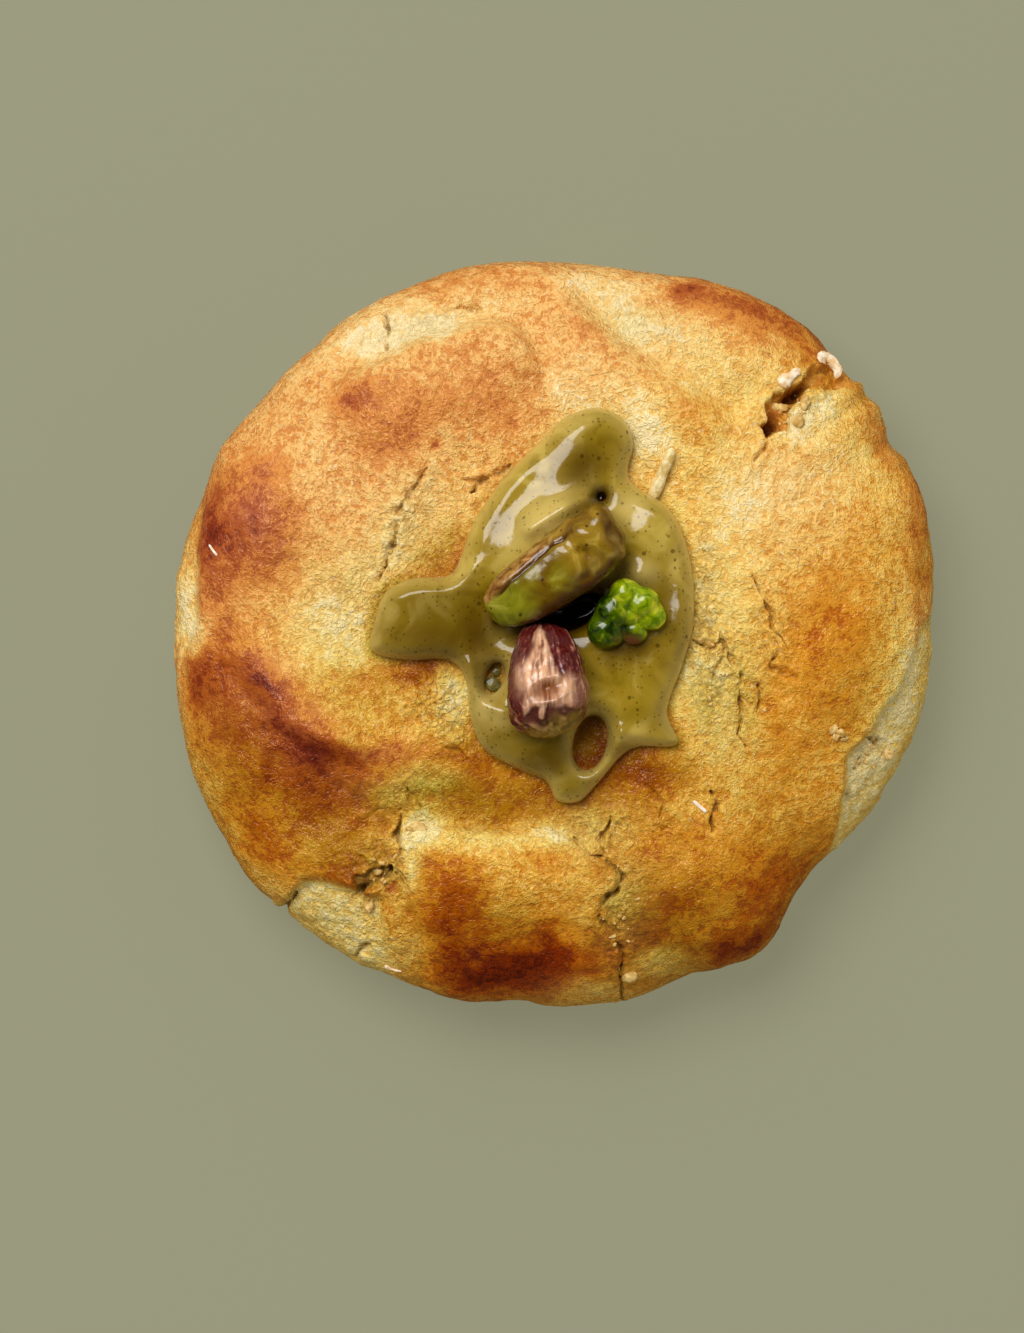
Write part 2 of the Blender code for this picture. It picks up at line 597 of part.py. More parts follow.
def even_ring(loop, spacing):
    """The same closed loop with points at even distances."""
    closed = np.vstack([loop, loop[:1]])
    lengths = np.concatenate([[0.0], np.cumsum(np.linalg.norm(np.diff(closed, axis=0), axis=1))])
    count = max(8, int(round(lengths[-1] / spacing)))
    stops = np.linspace(0.0, lengths[-1], count, endpoint=False)
    return np.column_stack([np.interp(stops, lengths, closed[:, axis]) for axis in (0, 1)])


def spread_out(points, least):
    """The points of a row without those that crowd the ones before them or the row's start."""
    kept = []
    for point in points:
        if all(np.linalg.norm(point - other) > least for other in kept[-3:] + kept[:3]):
            kept.append(point)
    return kept


def build_cream(cookie, kernels):
    points, edges = cream_plan_points()
    flat = [Vector(point) for point in points]
    plan_out, _, faces_out, _, _, _ = geometry.delaunay_2d_cdt(flat, edges, [], 1, 1e-4)
    plan = np.array([point[:] for point in plan_out])
    middles = np.array([np.mean([plan[index] for index in face], axis=0) for face in faces_out])
    wanted = cream_inside(middles) > 0.0
    faces = [face for face, keep in zip(faces_out, wanted) if keep]

    inside = cream_inside(plan).clip(0.0)
    crust = BVHTree.FromObject(cookie, bpy.context.evaluated_depsgraph_get())
    floor = met_height(crust, plan, CLEAR_HEIGHT, -1.0)
    under = floor + CREAM_GAP
    thickness = np.full(len(plan), CREAM_THICKNESS)
    for x, y, half_length, half_width, turn, height in CREAM_SWELLS:
        thickness += height * np.exp(-oval(plan, x, y, half_length, half_width, turn) ** 2)
    for path, half_width, height in CREAM_RIDGES:
        distance, _, _ = path_distance(plan, smooth_curve(path))
        thickness += height * np.exp(-(distance / half_width) ** 2)
    inward = (inside / CREAM_EDGE).clip(0.0, 1.0)
    round_edge = np.sqrt(1.0 - (1.0 - inward) ** 2)
    top = under + CREAM_LIP + (thickness - CREAM_LIP) * round_edge
    for kernel in kernels:
        tree = grown_tree(kernel, CREAM_GAP + CREAM_SLACK)
        top = np.minimum(top, met_height(tree, plan, 0.0, 1.0))
    top = np.maximum(top, under + CREAM_LEAST)

    count = len(plan)
    solid = [(x, y, z) for (x, y), z in zip(plan, top)] + [(x, y, z) for (x, y), z in zip(plan, under)]
    walls = {}
    skin = []
    for face in faces:
        skin.append(tuple(face))
        skin.append(tuple(index + count for index in reversed(face)))
        for start, end in zip(face, face[1:] + face[:1]):
            walls[(start, end)] = True
    for start, end in walls:
        if (end, start) not in walls:
            skin.append((start, start + count, end + count))
            skin.append((start, end + count, end))
    used = sorted({index for face in skin for index in face})
    place = {index: order for order, index in enumerate(used)}
    cream = new_object("pistachio_cream", np.array(solid)[used] * MM,
                       [tuple(place[index] for index in face) for face in skin])
    tidy = bmesh.new()
    tidy.from_mesh(cream.data)
    bmesh.ops.recalc_face_normals(tidy, faces=tidy.faces)
    tidy.to_mesh(cream.data)
    tidy.free()
    return cream


clear_scene()
cookie = build_cookie()
coated = shaped_kernel("kernel_coated", COATED_KERNEL)
skinned = shaped_kernel("kernel_skinned", SKINNED_KERNEL)
green = build_green_kernel()
build_cream(cookie, [coated, skinned, green])
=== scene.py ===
import itertools
import math

import bpy
import numpy as np
from mathutils import Matrix, Vector, geometry
from mathutils.bvhtree import BVHTree


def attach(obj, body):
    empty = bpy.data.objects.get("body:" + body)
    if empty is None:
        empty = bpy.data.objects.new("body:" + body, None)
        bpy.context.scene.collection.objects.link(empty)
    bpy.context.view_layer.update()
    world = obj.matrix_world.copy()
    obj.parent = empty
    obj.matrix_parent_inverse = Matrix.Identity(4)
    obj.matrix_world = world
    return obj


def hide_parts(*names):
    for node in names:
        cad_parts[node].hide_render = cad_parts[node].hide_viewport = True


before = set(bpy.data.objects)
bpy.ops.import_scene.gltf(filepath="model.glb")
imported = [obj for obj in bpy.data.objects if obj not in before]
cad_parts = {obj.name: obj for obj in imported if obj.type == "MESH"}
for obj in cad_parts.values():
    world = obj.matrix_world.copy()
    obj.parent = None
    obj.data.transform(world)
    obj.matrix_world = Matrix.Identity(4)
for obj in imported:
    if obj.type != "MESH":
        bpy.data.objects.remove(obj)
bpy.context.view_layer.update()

mm = 0.001                        # lengths here are millimetres, and this turns them into Blender's metres
farAway = 1e9
aboveAll = 60                     # a height that nothing reaches


def deselectAll():
    if bpy.context.object and bpy.context.object.mode != "OBJECT":
        bpy.ops.object.mode_set(mode="OBJECT")
    bpy.ops.object.select_all(action="DESELECT")


def makeActive(piece):
    deselectAll()
    piece.select_set(True)
    bpy.context.view_layer.objects.active = piece


# 0 below low, 1 above high and a smooth slope between
def softStep(value, low, high):
    share = np.clip((value - low) / (high - low), 0, 1)
    return share * share * (3 - 2 * share)


# 1 at the centre, falling to 0 on both sides
def bump(value, centre, halfWidth):
    return np.exp(-((value - centre) / halfWidth) ** 2)


def smoothCurve(points, closed=False, steps=6):
    points = np.array(points, dtype=float)
    last = len(points) - 1
    curve = []
    for index in range(last + closed):
        around = range(index - 1, index + 3)
        before, start, end, after = points[[step % (last + 1) if closed else min(max(step, 0), last)
                                            for step in around]]
        for t in np.arange(steps) / steps:
            curve.append(0.5 * (2 * start + (end - before) * t
                                + (2 * before - 5 * start + 4 * end - after) * t * t
                                + (3 * start - before - 3 * end + after) * t * t * t))
    return np.array(curve if closed else curve + [points[-1]])


# distance to a path, the side of it (+1 is left) and the share along it
def pathDistance(plan, path):
    nearest = np.full(len(plan), farAway)
    side, along = np.ones(len(plan)), np.zeros(len(plan))
    lengths = np.linalg.norm(np.diff(path, axis=0), axis=1)
    travelled = 0
    for start, end, length in zip(path[:-1], path[1:], lengths):
        direction = (end - start) / length
        offset = plan - start
        reach = np.clip(offset @ direction, 0, length)
        distance = np.linalg.norm(offset - reach[:, None] * direction, axis=1)
        closer = distance < nearest
        nearest = np.where(closer, distance, nearest)
        side = np.where(closer, np.sign(direction[0] * offset[:, 1] - direction[1] * offset[:, 0]), side)
        along = np.where(closer, (travelled + reach) / lengths.sum(), along)
        travelled += length
    return nearest, side, along


# distance to an outline, positive inside it
def outlineDistance(plan, edge):
    ring = np.vstack([edge, edge[:1]])
    distance = pathDistance(plan, ring)[0]
    inside = np.zeros(len(plan), dtype=bool)
    for start, end in zip(ring[:-1], ring[1:]):
        if end[1] != start[1]:
            crosses = (start[1] > plan[:, 1]) != (end[1] > plan[:, 1])
            at = start[0] + (plan[:, 1] - start[1]) * (end[0] - start[0]) / (end[1] - start[1])
            inside ^= crosses & (plan[:, 0] < at)
    return np.where(inside, distance, -distance)


def withHeight(plan, height=0.0):
    return np.column_stack([plan, np.full(len(plan), height)])


# smooth random waves between -1 and 1, the same on every run
def waves(points, size, seed):
    count = 32
    table = np.random.default_rng(seed).uniform(-1, 1, (count, count, count))
    turn = np.array(Matrix.Rotation(0.7 + seed, 3, Vector((0.4, 0.7, 0.6)).normalized()))
    place = points @ turn.T / size
    cell = np.floor(place).astype(int)
    share = place - cell
    share = share * share * (3 - 2 * share)
    total = np.zeros(len(points))
    for corner in itertools.product((0, 1), repeat=3):
        weight = np.prod(np.where(corner, share, 1 - share), axis=1)
        total += weight * table[tuple(((cell + corner) % count).T)]
    return total


# waves on top of each other: a table of their size across, their height and their seed
def waveSum(points, table):
    return sum(height * waves(points, size, seed) for size, height, seed in table)


def turned(plan, turn):
    cosine, sine = math.cos(math.radians(turn)), math.sin(math.radians(turn))
    return np.column_stack([plan[:, 0] * cosine - plan[:, 1] * sine, plan[:, 0] * sine + plan[:, 1] * cosine])


# an oval place on the plan: 1 in its middle, falling to 0 round it
def spot(plan, x, y, halfLength, halfWidth, turn, power=2):
    across = turned(plan - (x, y), -turn) / (halfLength, halfWidth)
    return np.exp(-np.sqrt((across ** 2).sum(axis=1)) ** power)


def spotSum(plan, spots):
    return sum(amount * spot(plan, *place) for *place, amount in spots)


def spotPeak(plan, spots, least=0.0):
    for *place, amount in spots:
        least = np.maximum(least, amount * spot(plan, *place))
    return least


def ovalRing(x, y, halfWidth, halfHeight, turn, count=40):
    step = np.linspace(0, 2 * math.pi, count, endpoint=False)
    return turned(np.column_stack([halfWidth * np.cos(step), halfHeight * np.sin(step)]), turn) + (x, y)


# how far each point of a line lies along it
def lineLengths(line):
    return np.concatenate([[0], np.cumsum(np.linalg.norm(np.diff(line, axis=0), axis=1))])


def placesOn(line, stops):
    return np.column_stack([np.interp(stops, lineLengths(line), line[:, axis]) for axis in (0, 1)])


def leftOf(ring):
    return np.column_stack([-ring[:, 1], ring[:, 0]])


def unit(vectors):
    return vectors / np.linalg.norm(vectors, axis=1)[:, None]


def readPoints(mesh):
    points = np.empty(len(mesh.vertices) * 3)
    mesh.vertices.foreach_get("co", points)
    return points.reshape(-1, 3)


def setPoints(piece, points):
    piece.data.vertices.foreach_set("co", (points * mm).ravel())
    piece.data.update()


def addBall(name, subdivisions):
    deselectAll()
    bpy.ops.mesh.primitive_ico_sphere_add(subdivisions=subdivisions, radius=1, location=(0, 0, 0))
    piece = bpy.context.object
    piece.name = name
    return piece, unit(readPoints(piece.data))


# keeps one value a point, or up to three in one colour, for the materials to read
def addLayer(piece, name, *values):
    kind, field, width = ("FLOAT", "value", 1) if len(values) == 1 else ("FLOAT_COLOR", "color", 4)
    layer = piece.data.attributes.new(name=name, type=kind, domain="POINT")
    numbers = np.ones((len(piece.data.vertices), width))
    for column, value in enumerate(values):
        numbers[:, column] = np.clip(value, 0, 1)
    layer.data.foreach_set(field, numbers.ravel())


def surfaceTree(piece):
    return BVHTree.FromObject(piece, bpy.context.evaluated_depsgraph_get())


def heightsOn(surface, plan):
    hits = [surface.ray_cast(Vector((x, y, aboveAll)) * mm, Vector((0, 0, -1)))[0] for x, y in plan]
    return np.array([hit.z / mm if hit else 0.0 for hit in hits])


def finishPiece(piece, node=None):
    makeActive(piece)
    bpy.ops.object.shade_smooth()
    bpy.ops.object.transform_apply(location=True, rotation=True, scale=True)
    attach(piece, "root")
    if node:
        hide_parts(node)


# red, green and blue from 0 to 255, as a screen shows them, in Blender's linear colour
def screenColour(*values):
    dark, slope, offset, power = 0.04045, 12.92, 0.055, 2.4
    shares = [value / 255 for value in values]
    return (*(share / slope if share <= dark else ((share + offset) / (1 + offset)) ** power
              for share in shares), 1)


# links a socket to another one, or sets it to a number or a screen colour
def feed(tree, socket, value):
    if isinstance(value, bpy.types.NodeSocket):
        tree.links.new(value, socket)
    else:
        socket.default_value = screenColour(*value) if isinstance(value, tuple) and len(value) == 3 else value


def setInputs(tree, node, inputs):
    for name, value in inputs.items():
        feed(tree, node.inputs[name], value)
    return node


def addNode(tree, kind, **inputs):
    return setInputs(tree, tree.nodes.new("ShaderNode" + kind), inputs)


def addGroup(tree, group, **inputs):
    node = addNode(tree, "Group")
    node.node_tree = group
    return setInputs(tree, node, inputs)


def noise(tree, vector, scale, detail=3, distortion=0):
    node = addNode(tree, "TexNoise", Vector=vector, Scale=scale, Detail=detail, Distortion=distortion)
    return node.outputs["Fac"]


def mathNode(tree, operation, *values, clamp=False):
    node = addNode(tree, "Math")
    node.operation, node.use_clamp = operation, clamp
    for socket, value in zip(node.inputs, values):
        feed(tree, socket, value)
    return node.outputs[0]


def times(tree, first, second):
    return mathNode(tree, "MULTIPLY", first, second)


def plus(tree, first, second, clamp=False):
    return mathNode(tree, "ADD", first, second, clamp=clamp)


def mapRange(tree, value, low, high, toLow=0, toHigh=1):
    node = addNode(tree, "MapRange")
    node.interpolation_type = "SMOOTHSTEP"
    for socket, number in zip(node.inputs, (value, low, high, toLow, toHigh)):
        feed(tree, socket, number)
    return node.outputs["Result"]


def mixColour(tree, share, first, second, blend="MIX"):
    node = addNode(tree, "Mix")
    node.data_type, node.blend_type = "RGBA", blend
    for index, value in ((0, share), (6, first), (7, second)):
        feed(tree, node.inputs[index], value)
    return node.outputs[2]


# puts colours over a first one in turn, each where its mask times its strength is 1
def paintOver(tree, colour, *layers):
    for mask, strength, over in layers:
        colour = mixColour(tree, times(tree, mask, strength), colour, over)
    return colour


# each stop is its place, red, green and blue
def colourRamp(tree, value, stops):
    ramp = addNode(tree, "ValToRGB", Fac=value)
    ramp.color_ramp.interpolation = "EASE"
    points = ramp.color_ramp.elements
    while len(points) < len(stops):
        points.new(0.5)
    for point, (place, *colour) in zip(points, stops):
        point.position, point.color = place, screenColour(*colour)
    return ramp.outputs["Color"]


def layerMask(tree, name, output="Fac"):
    attribute = addNode(tree, "Attribute")
    attribute.attribute_name = name
    return attribute.outputs[output]


def layerMasks(tree, name):
    return addNode(tree, "SeparateColor", Color=layerMask(tree, name, "Color")).outputs[:3]


def startMaterial(piece, name):
    material = bpy.data.materials.new(name)
    material.use_nodes = True
    piece.data.materials.append(material)
    return material.node_tree, addNode(material.node_tree, "TexCoord").outputs["Object"]


# sets the shader's sockets and its bump: height, strength and distance
def setShader(tree, inputs, height, strength, distance):
    relief = addNode(tree, "Bump", Height=height, Strength=strength, Distance=distance * mm)
    setInputs(tree, tree.nodes["Principled BSDF"], {**inputs, "Normal": relief.outputs["Normal"]})


def startGroup(name, inputs, outputs):
    group = bpy.data.node_groups.new(name, "ShaderNodeTree")
    group.interface.new_socket(name="Vector", in_out="INPUT", socket_type="NodeSocketVector")
    for socketName, value in inputs.items():
        socket = group.interface.new_socket(name=socketName, in_out="INPUT", socket_type="NodeSocketFloat")
        socket.default_value = value
    for socketName in outputs:
        group.interface.new_socket(name=socketName, in_out="OUTPUT", socket_type="NodeSocketFloat")
    return group, group.nodes.new("NodeGroupInput").outputs, group.nodes.new("NodeGroupOutput")


# curly fibres, crumbs and small pits of baked dough, with painted shade in the pits and painted glints
def makeGrainGroup():
    group, given, leave = startGroup("bakedGrain", {"Crumbly": 0}, ("Height", "Speckle", "PitShade", "PaintedGlints"))
    fibres = []
    for scale, distortion, share in ((1250, 0.8, 0.55), (2200, 0.6, 0.45)):
        away = mathNode(group, "SUBTRACT", noise(group, given["Vector"], scale, 1, distortion), 0.5)
        curl = mapRange(group, mathNode(group, "ABSOLUTE", away), 0, 0.17, 1, 0)
        fibres.append(times(group, curl, share))
    coarse = noise(group, given["Vector"], 1050, 4, 0.3)
    grain = plus(group, times(group, plus(group, *fibres), 0.26), times(group, coarse, 0.74))
    cells = addNode(group, "TexVoronoi", Vector=given["Vector"], Scale=1500).outputs["Distance"]
    torn = times(group, mapRange(group, cells, 0.1, 0.55, 0.6, 0), given["Crumbly"])
    # the gaps and holes are darkened in colour: painted shade in the hollows between crumbs
    gaps = times(group, mapRange(group, cells, 0.5, 0.62), given["Crumbly"])
    holes = times(group, mapRange(group, coarse, 0.36, 0.3), plus(group, given["Crumbly"], 0.15))
    setInputs(group, leave, {
        "Height": plus(group, grain, torn),
        "Speckle": mapRange(group, grain, 0.3, 0.68),
        "PitShade": mathNode(group, "MAXIMUM", holes, gaps, clamp=True),
        "PaintedGlints": mapRange(group, noise(group, given["Vector"], 2300, 2, 0.4), 0.6, 0.7),
    })
    return group


# small dark specks scattered through a smooth paste
def makeSpeckGroup():
    group, given, leave = startGroup("fineSpecks", {"Scale": 900, "Size": 0.12, "Share": 0.7}, ["Mask"])
    cells = addNode(group, "TexVoronoi", Vector=given["Vector"], Scale=given["Scale"]).outputs
    shade = addNode(group, "SeparateColor", Color=cells["Color"]).outputs["Red"]
    near = mathNode(group, "LESS_THAN", cells["Distance"], given["Size"])
    chosen = mathNode(group, "GREATER_THAN", shade, given["Share"])
    setInputs(group, leave, {"Mask": times(group, near, chosen)})
    return group


grainGroup = makeGrainGroup()
speckGroup = makeSpeckGroup()

# the cookie's own sizes, the same as those of the solid that it replaces
cookie = {
    "rimRadius": 39.95, "rimOval": 0.8, "rimOvalAngle": 38,
    "rimLobes": [                 # direction in degrees, reach, half width in degrees
        (3, -0.3, 5), (22, 0.8, 6), (36, 0.8, 4), (54, 1.2, 10), (83, -0.8, 9), (104, 0.5, 8), (121, 0.6, 9),
        (137, 0.4, 8), (150, 1.1, 7), (168, 0.5, 8), (203, 0.4, 9), (219, 0.6, 6), (247, -0.5, 9),
        (264, -0.9, 6), (290, -0.5, 4), (303, 0.9, 6), (317, -2, 8), (331, -1.1, 12), (39.2, 0.45, 0.8),
        (37.6, -0.35, 0.6), (35, 0.3, 1.1), (29.8, -0.35, 1.4), (26.6, 0.25, 1.2), (225.6, -0.5, 0.8),
        (292.5, -0.3, 1),
    ],
    "widestHeight": 5.5, "crownRise": 13, "crownPower": 2.6, "footShare": 0.91, "profileSteps": 240,
    "footDetail": 0.05, "wallDetail": 0.6,           # share of faces that the foot and the wall get
    "footSteps": 60,              # of the profile's end, where no face is split
    "clearOfCream": 0.5, "tornEnough": 0.45,         # where all faces of the crust are split once
    "nearCrack": 0.9, "besideCrack": 0.32,           # and how near to a crack they are split once and twice
}

# broad swells: x, y, half length, half width, turn, height
mounds = {
    "upperLeft": (-14, 25.5, 10, 5.5, 24, 1), "west": (-31.5, 12, 7, 5, 70, 1.3),
    "westShoulder": (-29, -9.5, 8, 4, -35, 1), "northRidge": (9, 26, 11, 4.5, -38, 1),
    "northEast": (20.5, 31, 9, 4.5, -30, 0.9), "east": (29.3, 3.7, 11, 19, 0, 1.3),
    "southEast": (17.1, -26.5, 12, 8, 25, 1), "south": (-7.5, -28.5, 9, 8, 0, 0.6),
    "southWest": (-31, -15, 7, 6, -50, 0.6), "westHollow": (-22, 2, 9, 7, 0, -0.9),
    "crownHollow": (1, 3, 15, 18, -12, -1.5), "southHollow": (-8, -18.6, 17, 4.6, 2, -1.3),
    "southWestHollow": (-24.5, -17, 7, 5, -20, -0.7),
}

# folds of dough, with the raised side to the left of the path
folds = {
    "upperLeft": {"path": [(-1.2, 25.5), (-3.4, 31.6), (-7, 32.8), (-12.6, 31.4), (-19.5, 28.6),
        (-25.5, 24.8)], "rise": 0.8, "drop": 1.8, "reachUp": 5, "reachDown": 4, "edge": 0.9, "ends": 0.2},
    "northRidge": {"path": [(19.4, 20.5), (15.5, 24.9), (9.1, 28.6), (3.8, 33.4), (0.2, 37)], "rise": 0.7,
        "drop": 1.2, "reachUp": 4, "reachDown": 4.5, "edge": 1.4, "ends": 0.12},
    "rightLedge": {"path": [(28.6, -24), (29.2, -22.6), (30.2, -19.3), (30.6, -16.7), (30.7, -15),
        (31, -12.9), (32.1, -11.6), (33.1, -10.6), (33.8, -9.5), (35, -7.4), (36.3, -5.5), (37, -3.6),
        (38, -1.4), (38.9, 0.9), (40.4, 4.2)], "rise": 0.35, "shelf": 0.15, "reachUp": 3, "edge": 0.3,
        "ends": 0.03, "torn": 1},
    "leftRidge": {"path": [(-37, -0.5), (-33.3, -3.5), (-28.5, -9.2), (-23.2, -12.2), (-15.5, -12.2)],
        "rise": 1, "drop": 0.5, "reachUp": 3.5, "reachDown": 3, "edge": 1.6, "ends": 0.3},
    "southBlock": {"path": [(7.3, -39), (6.9, -33), (5.2, -28.6), (6.7, -25.4), (3.4, -22.6), (-0.6, -20.6),
        (-8.9, -20.6), (-15.4, -20.2), (-16.3, -22.8), (-15.6, -27), (-13.6, -33), (-12.4, -39)], "rise": 1.5,
        "drop": 0.3, "block": (-8.5, -25, 15, 13, 0), "reachDown": 3, "edge": 0.42},
    "southWestTier": {"path": [(-30.2, -28.4), (-28.4, -28.2), (-27.6, -27.4), (-26.6, -26.1), (-24, -25.9),
        (-22.6, -26.3), (-21.2, -26.8), (-19.6, -27.6), (-17.6, -27.4)], "rise": 0.3, "shelf": 0.16,
        "reachUp": 3, "edge": 0.5, "ends": 0.1, "torn": 0.8},
    "farWestTier": {"path": [(-36.8, 15.5), (-37.4, 8), (-37.5, 2.6), (-39, -3)], "rise": 0.25, "shelf": 0.3,
        "reachUp": 3, "edge": 0.4, "ends": 0.15, "torn": 0.35},
}

# cracks: path, half width, depth
cracks = {
    "upperLeft": ([(-13.4, 17.5), (-14.4, 15.6), (-15.5, 14.2), (-16.5, 12.4), (-17.2, 9.5), (-17.6, 6.7),
        (-18.4, 5.6)], 0.2, 0.55),
    "creamEdge": ([(-8.8, 14.8), (-7.6, 15.8), (-6.2, 16.7), (-4.7, 17.7)], 0.26, 0.56),
    "creamEdgeBranch": ([(-9.6, 16.2), (-8.4, 16), (-7.6, 15.8)], 0.16, 0.4),
    "southFaint": ([(9.8, -15.8), (10.8, -16.6), (11.6, -17.8), (11.2, -19.4)], 0.13, 0.3),
    "southWestUpper": ([(-16.2, -18.6), (-16.4, -20.2), (-16.4, -21.4), (-16, -22.4), (-16.6, -23.2),
        (-16.7, -24.6)], 0.24, 0.74),
    "southWestPit": ([(-16.5, -20.6), (-16.7, -21.2)], 0.35, 0.87),
    "southWestNotch": ([(-28.8, -29.4), (-28.1, -28.4), (-27.4, -27.2)], 0.26, 0.56),
    "southWestNick": ([(-21, -33.8), (-20.2, -33.3), (-19.3, -32.9)], 0.3, 0.5),
    "aboveBlock": ([(-18.5, -18.2), (-19.2, -19.2), (-20.2, -19.8)], 0.19, 0.37),
    "aboveBlockEast": ([(-15.5, -16.2), (-15.3, -17.2)], 0.16, 0.31),
    "aboveBlockFar": ([(-14.4, -17.2), (-13.8, -18), (-13.9, -19)], 0.14, 0.31),
    "blockRight": ([(2.1, -21.5), (3.4, -23), (4.9, -23.6), (6.4, -24.5), (7, -25.5), (6.6, -26.8),
        (5.4, -27.3), (4.9, -28.6), (4.6, -29.4), (5.6, -30.4), (6.5, -31.9), (7.1, -33), (7, -34.4),
        (6.8, -36), (7.2, -37.6), (7.1, -39.6)], 0.2, 0.56),
    "blockBranch": ([(6.1, -19.2), (5.1, -20.9), (4.7, -22.4), (5.3, -23.6)], 0.18, 0.5),
    "eastLong": ([(14.6, -0.5), (16.1, -1.4), (17.6, -0.7), (18.2, -2.2), (19.3, -3.9), (19.5, -6.3),
        (19.6, -8.6), (19.4, -10.3), (20, -11.8)], 0.2, 0.5),
    "eastUpper": ([(20.6, 6), (21.5, 4.3), (22.5, 2.6), (22.7, 0.7), (23.8, -0.5), (24.4, -1.6)], 0.16, 0.5),
    "eastLower": ([(23.3, -2), (22.7, -3.5), (24, -4.2), (25.5, -4.7)], 0.23, 0.5),
    "eastShort": ([(21.1, -5.2), (21.5, -6.7), (21.1, -8.2)], 0.2, 0.43),
    "eastInner": ([(17.4, 0.1), (17.8, -1.6), (16.9, -3.4), (16.2, -5.6)], 0.16, 0.37),
    "southPits": ([(16.3, -16.3), (16.9, -18.1), (16.6, -20.6)], 0.27, 0.56),
    "valley": ([(-17.8, 33.8), (-17.1, 31.9), (-17.6, 30)], 0.24, 0.62),
    "valleyAcross": ([(-10.2, 34.1), (-8.8, 34.3), (-7.6, 33.8)], 0.2, 0.43),
    "northFaint": ([(10.4, 35.3), (11.8, 32.5), (11.6, 31.6)], 0.14, 0.25),
    "centreLow": ([(-11, -11.7), (-9.8, -12.4), (-8.9, -13.2)], 0.16, 0.31),
    "ledgePits": ([(33, -11), (33.9, -11.6), (34.6, -12.4)], 0.3, 0.5),
    "ledgePitsLow": ([(32.2, -12.6), (31.6, -14.2)], 0.3, 0.43),
    "ledgePitsEnd": ([(31.2, -17), (31, -18)], 0.22, 0.31),
    "holeTail": ([(22, 20), (21.6, 19), (20.9, 18.2)], 0.16, 0.37),
}
crackLook = {"wander": 0.34, "wanderSize": 1.4, "uneven": 1, "lip": 0.12}

# where the crust is broken open, and its deeper places: x, y, half length, half width, turn, extra depth
openings = {
    "hole": {"outline": [(22.1, 24), (23, 25.4), (24.8, 26), (25.8, 26.5), (26.3, 27.4), (27.2, 28.4),
        (29.4, 28.3), (30.3, 27.6), (30.9, 26.3), (29.2, 25.7), (27.6, 25.6), (26.7, 25.7), (26.2, 24.8),
        (24.9, 23.7), (24.8, 22.8), (24.7, 21.3), (23.1, 21.1), (22.1, 20.3), (21.5, 21.9), (22.3, 22.6)],
        "depth": 1.2, "deep": [(25.9, 25.8, 1.5, 0.8, 38, 1.7), (24.6, 24.9, 1.1, 0.5, 40, 0.9),
        (22.8, 22.1, 1.4, 1, 40, 1.7)]},
    "southWest": {"outline": [(-21, -25.3), (-18.8, -24.7), (-17, -24.1), (-16.8, -25.3), (-18.5, -26.2),
        (-19.9, -27.3), (-20.4, -27.8), (-21.1, -26.7)], "depth": 1,
        "deep": [(-20.3, -27.1, 0.7, 0.6, 0, 0.9), (-17.1, -24.8, 1, 0.5, 40, 0.8)]},
}
openingLook = {"ragged": 0.22, "wall": 0.3, "waves": [(0.7, 1, 8), (0.32, 0.7, 9)]}

# unevenness of all the crust, and lumps of its crumbly places: size across, height, seed
crumbWaves = [(17, 0.45, 11), (7, 0.28, 12), (3.2, 0.17, 13), (1.5, 0.12, 14), (0.75, 0.09, 15)]
lumpWaves = [(1.2, 0.3, 21), (0.7, 0.26, 22), (0.36, 0.15, 23)]

# where the dough is torn and crumbly: x, y, half length, half width, turn, amount
crumblyZones = {
    "rightTier": (35.8, -13, 3.2, 10.5, -28, 0.2), "southWestTier": (-22.5, -30, 9, 4, -28, 0.35),
    "southWestCrack": (-18, -24.5, 3.6, 3.2, 20, 0.9), "eastCracks": (17, -4.5, 4, 6.5, 10, 0.55),
    "eastUpper": (22.5, 0.5, 2.6, 6, -15, 0.35), "hole": (26.5, 24.2, 4.2, 2.6, 38, 0.5),
    "valleyUpperLeft": (-14, 32.4, 6, 1.6, 15, 0.4), "valleyUpperRight": (8.6, 33, 4, 2.4, -38, 0.4),
    "blockRight": (7, -31, 3.5, 7.5, 0, 0.55), "blockTop": (-6, -20.2, 9, 1, 0, 0.5),
    "creamLeft": (-12, -7, 3.2, 4.6, 20, 0.8), "upperLeftCrack": (-15.5, 12, 2, 5.5, -20, 0.45),
    "southEast": (12, -19, 6.5, 4, 0, 0.25), "creamRight": (15.6, 5, 1.6, 8, 0, 0.55),
    "leftMiddle": (-21, 2, 5, 4, 0, 0.35), "aboveBlock": (-15, -16.8, 6, 2.2, 0, 0.4),
    "southMiddlePale": (4, -20.4, 4, 3, 0, 0.4),
}
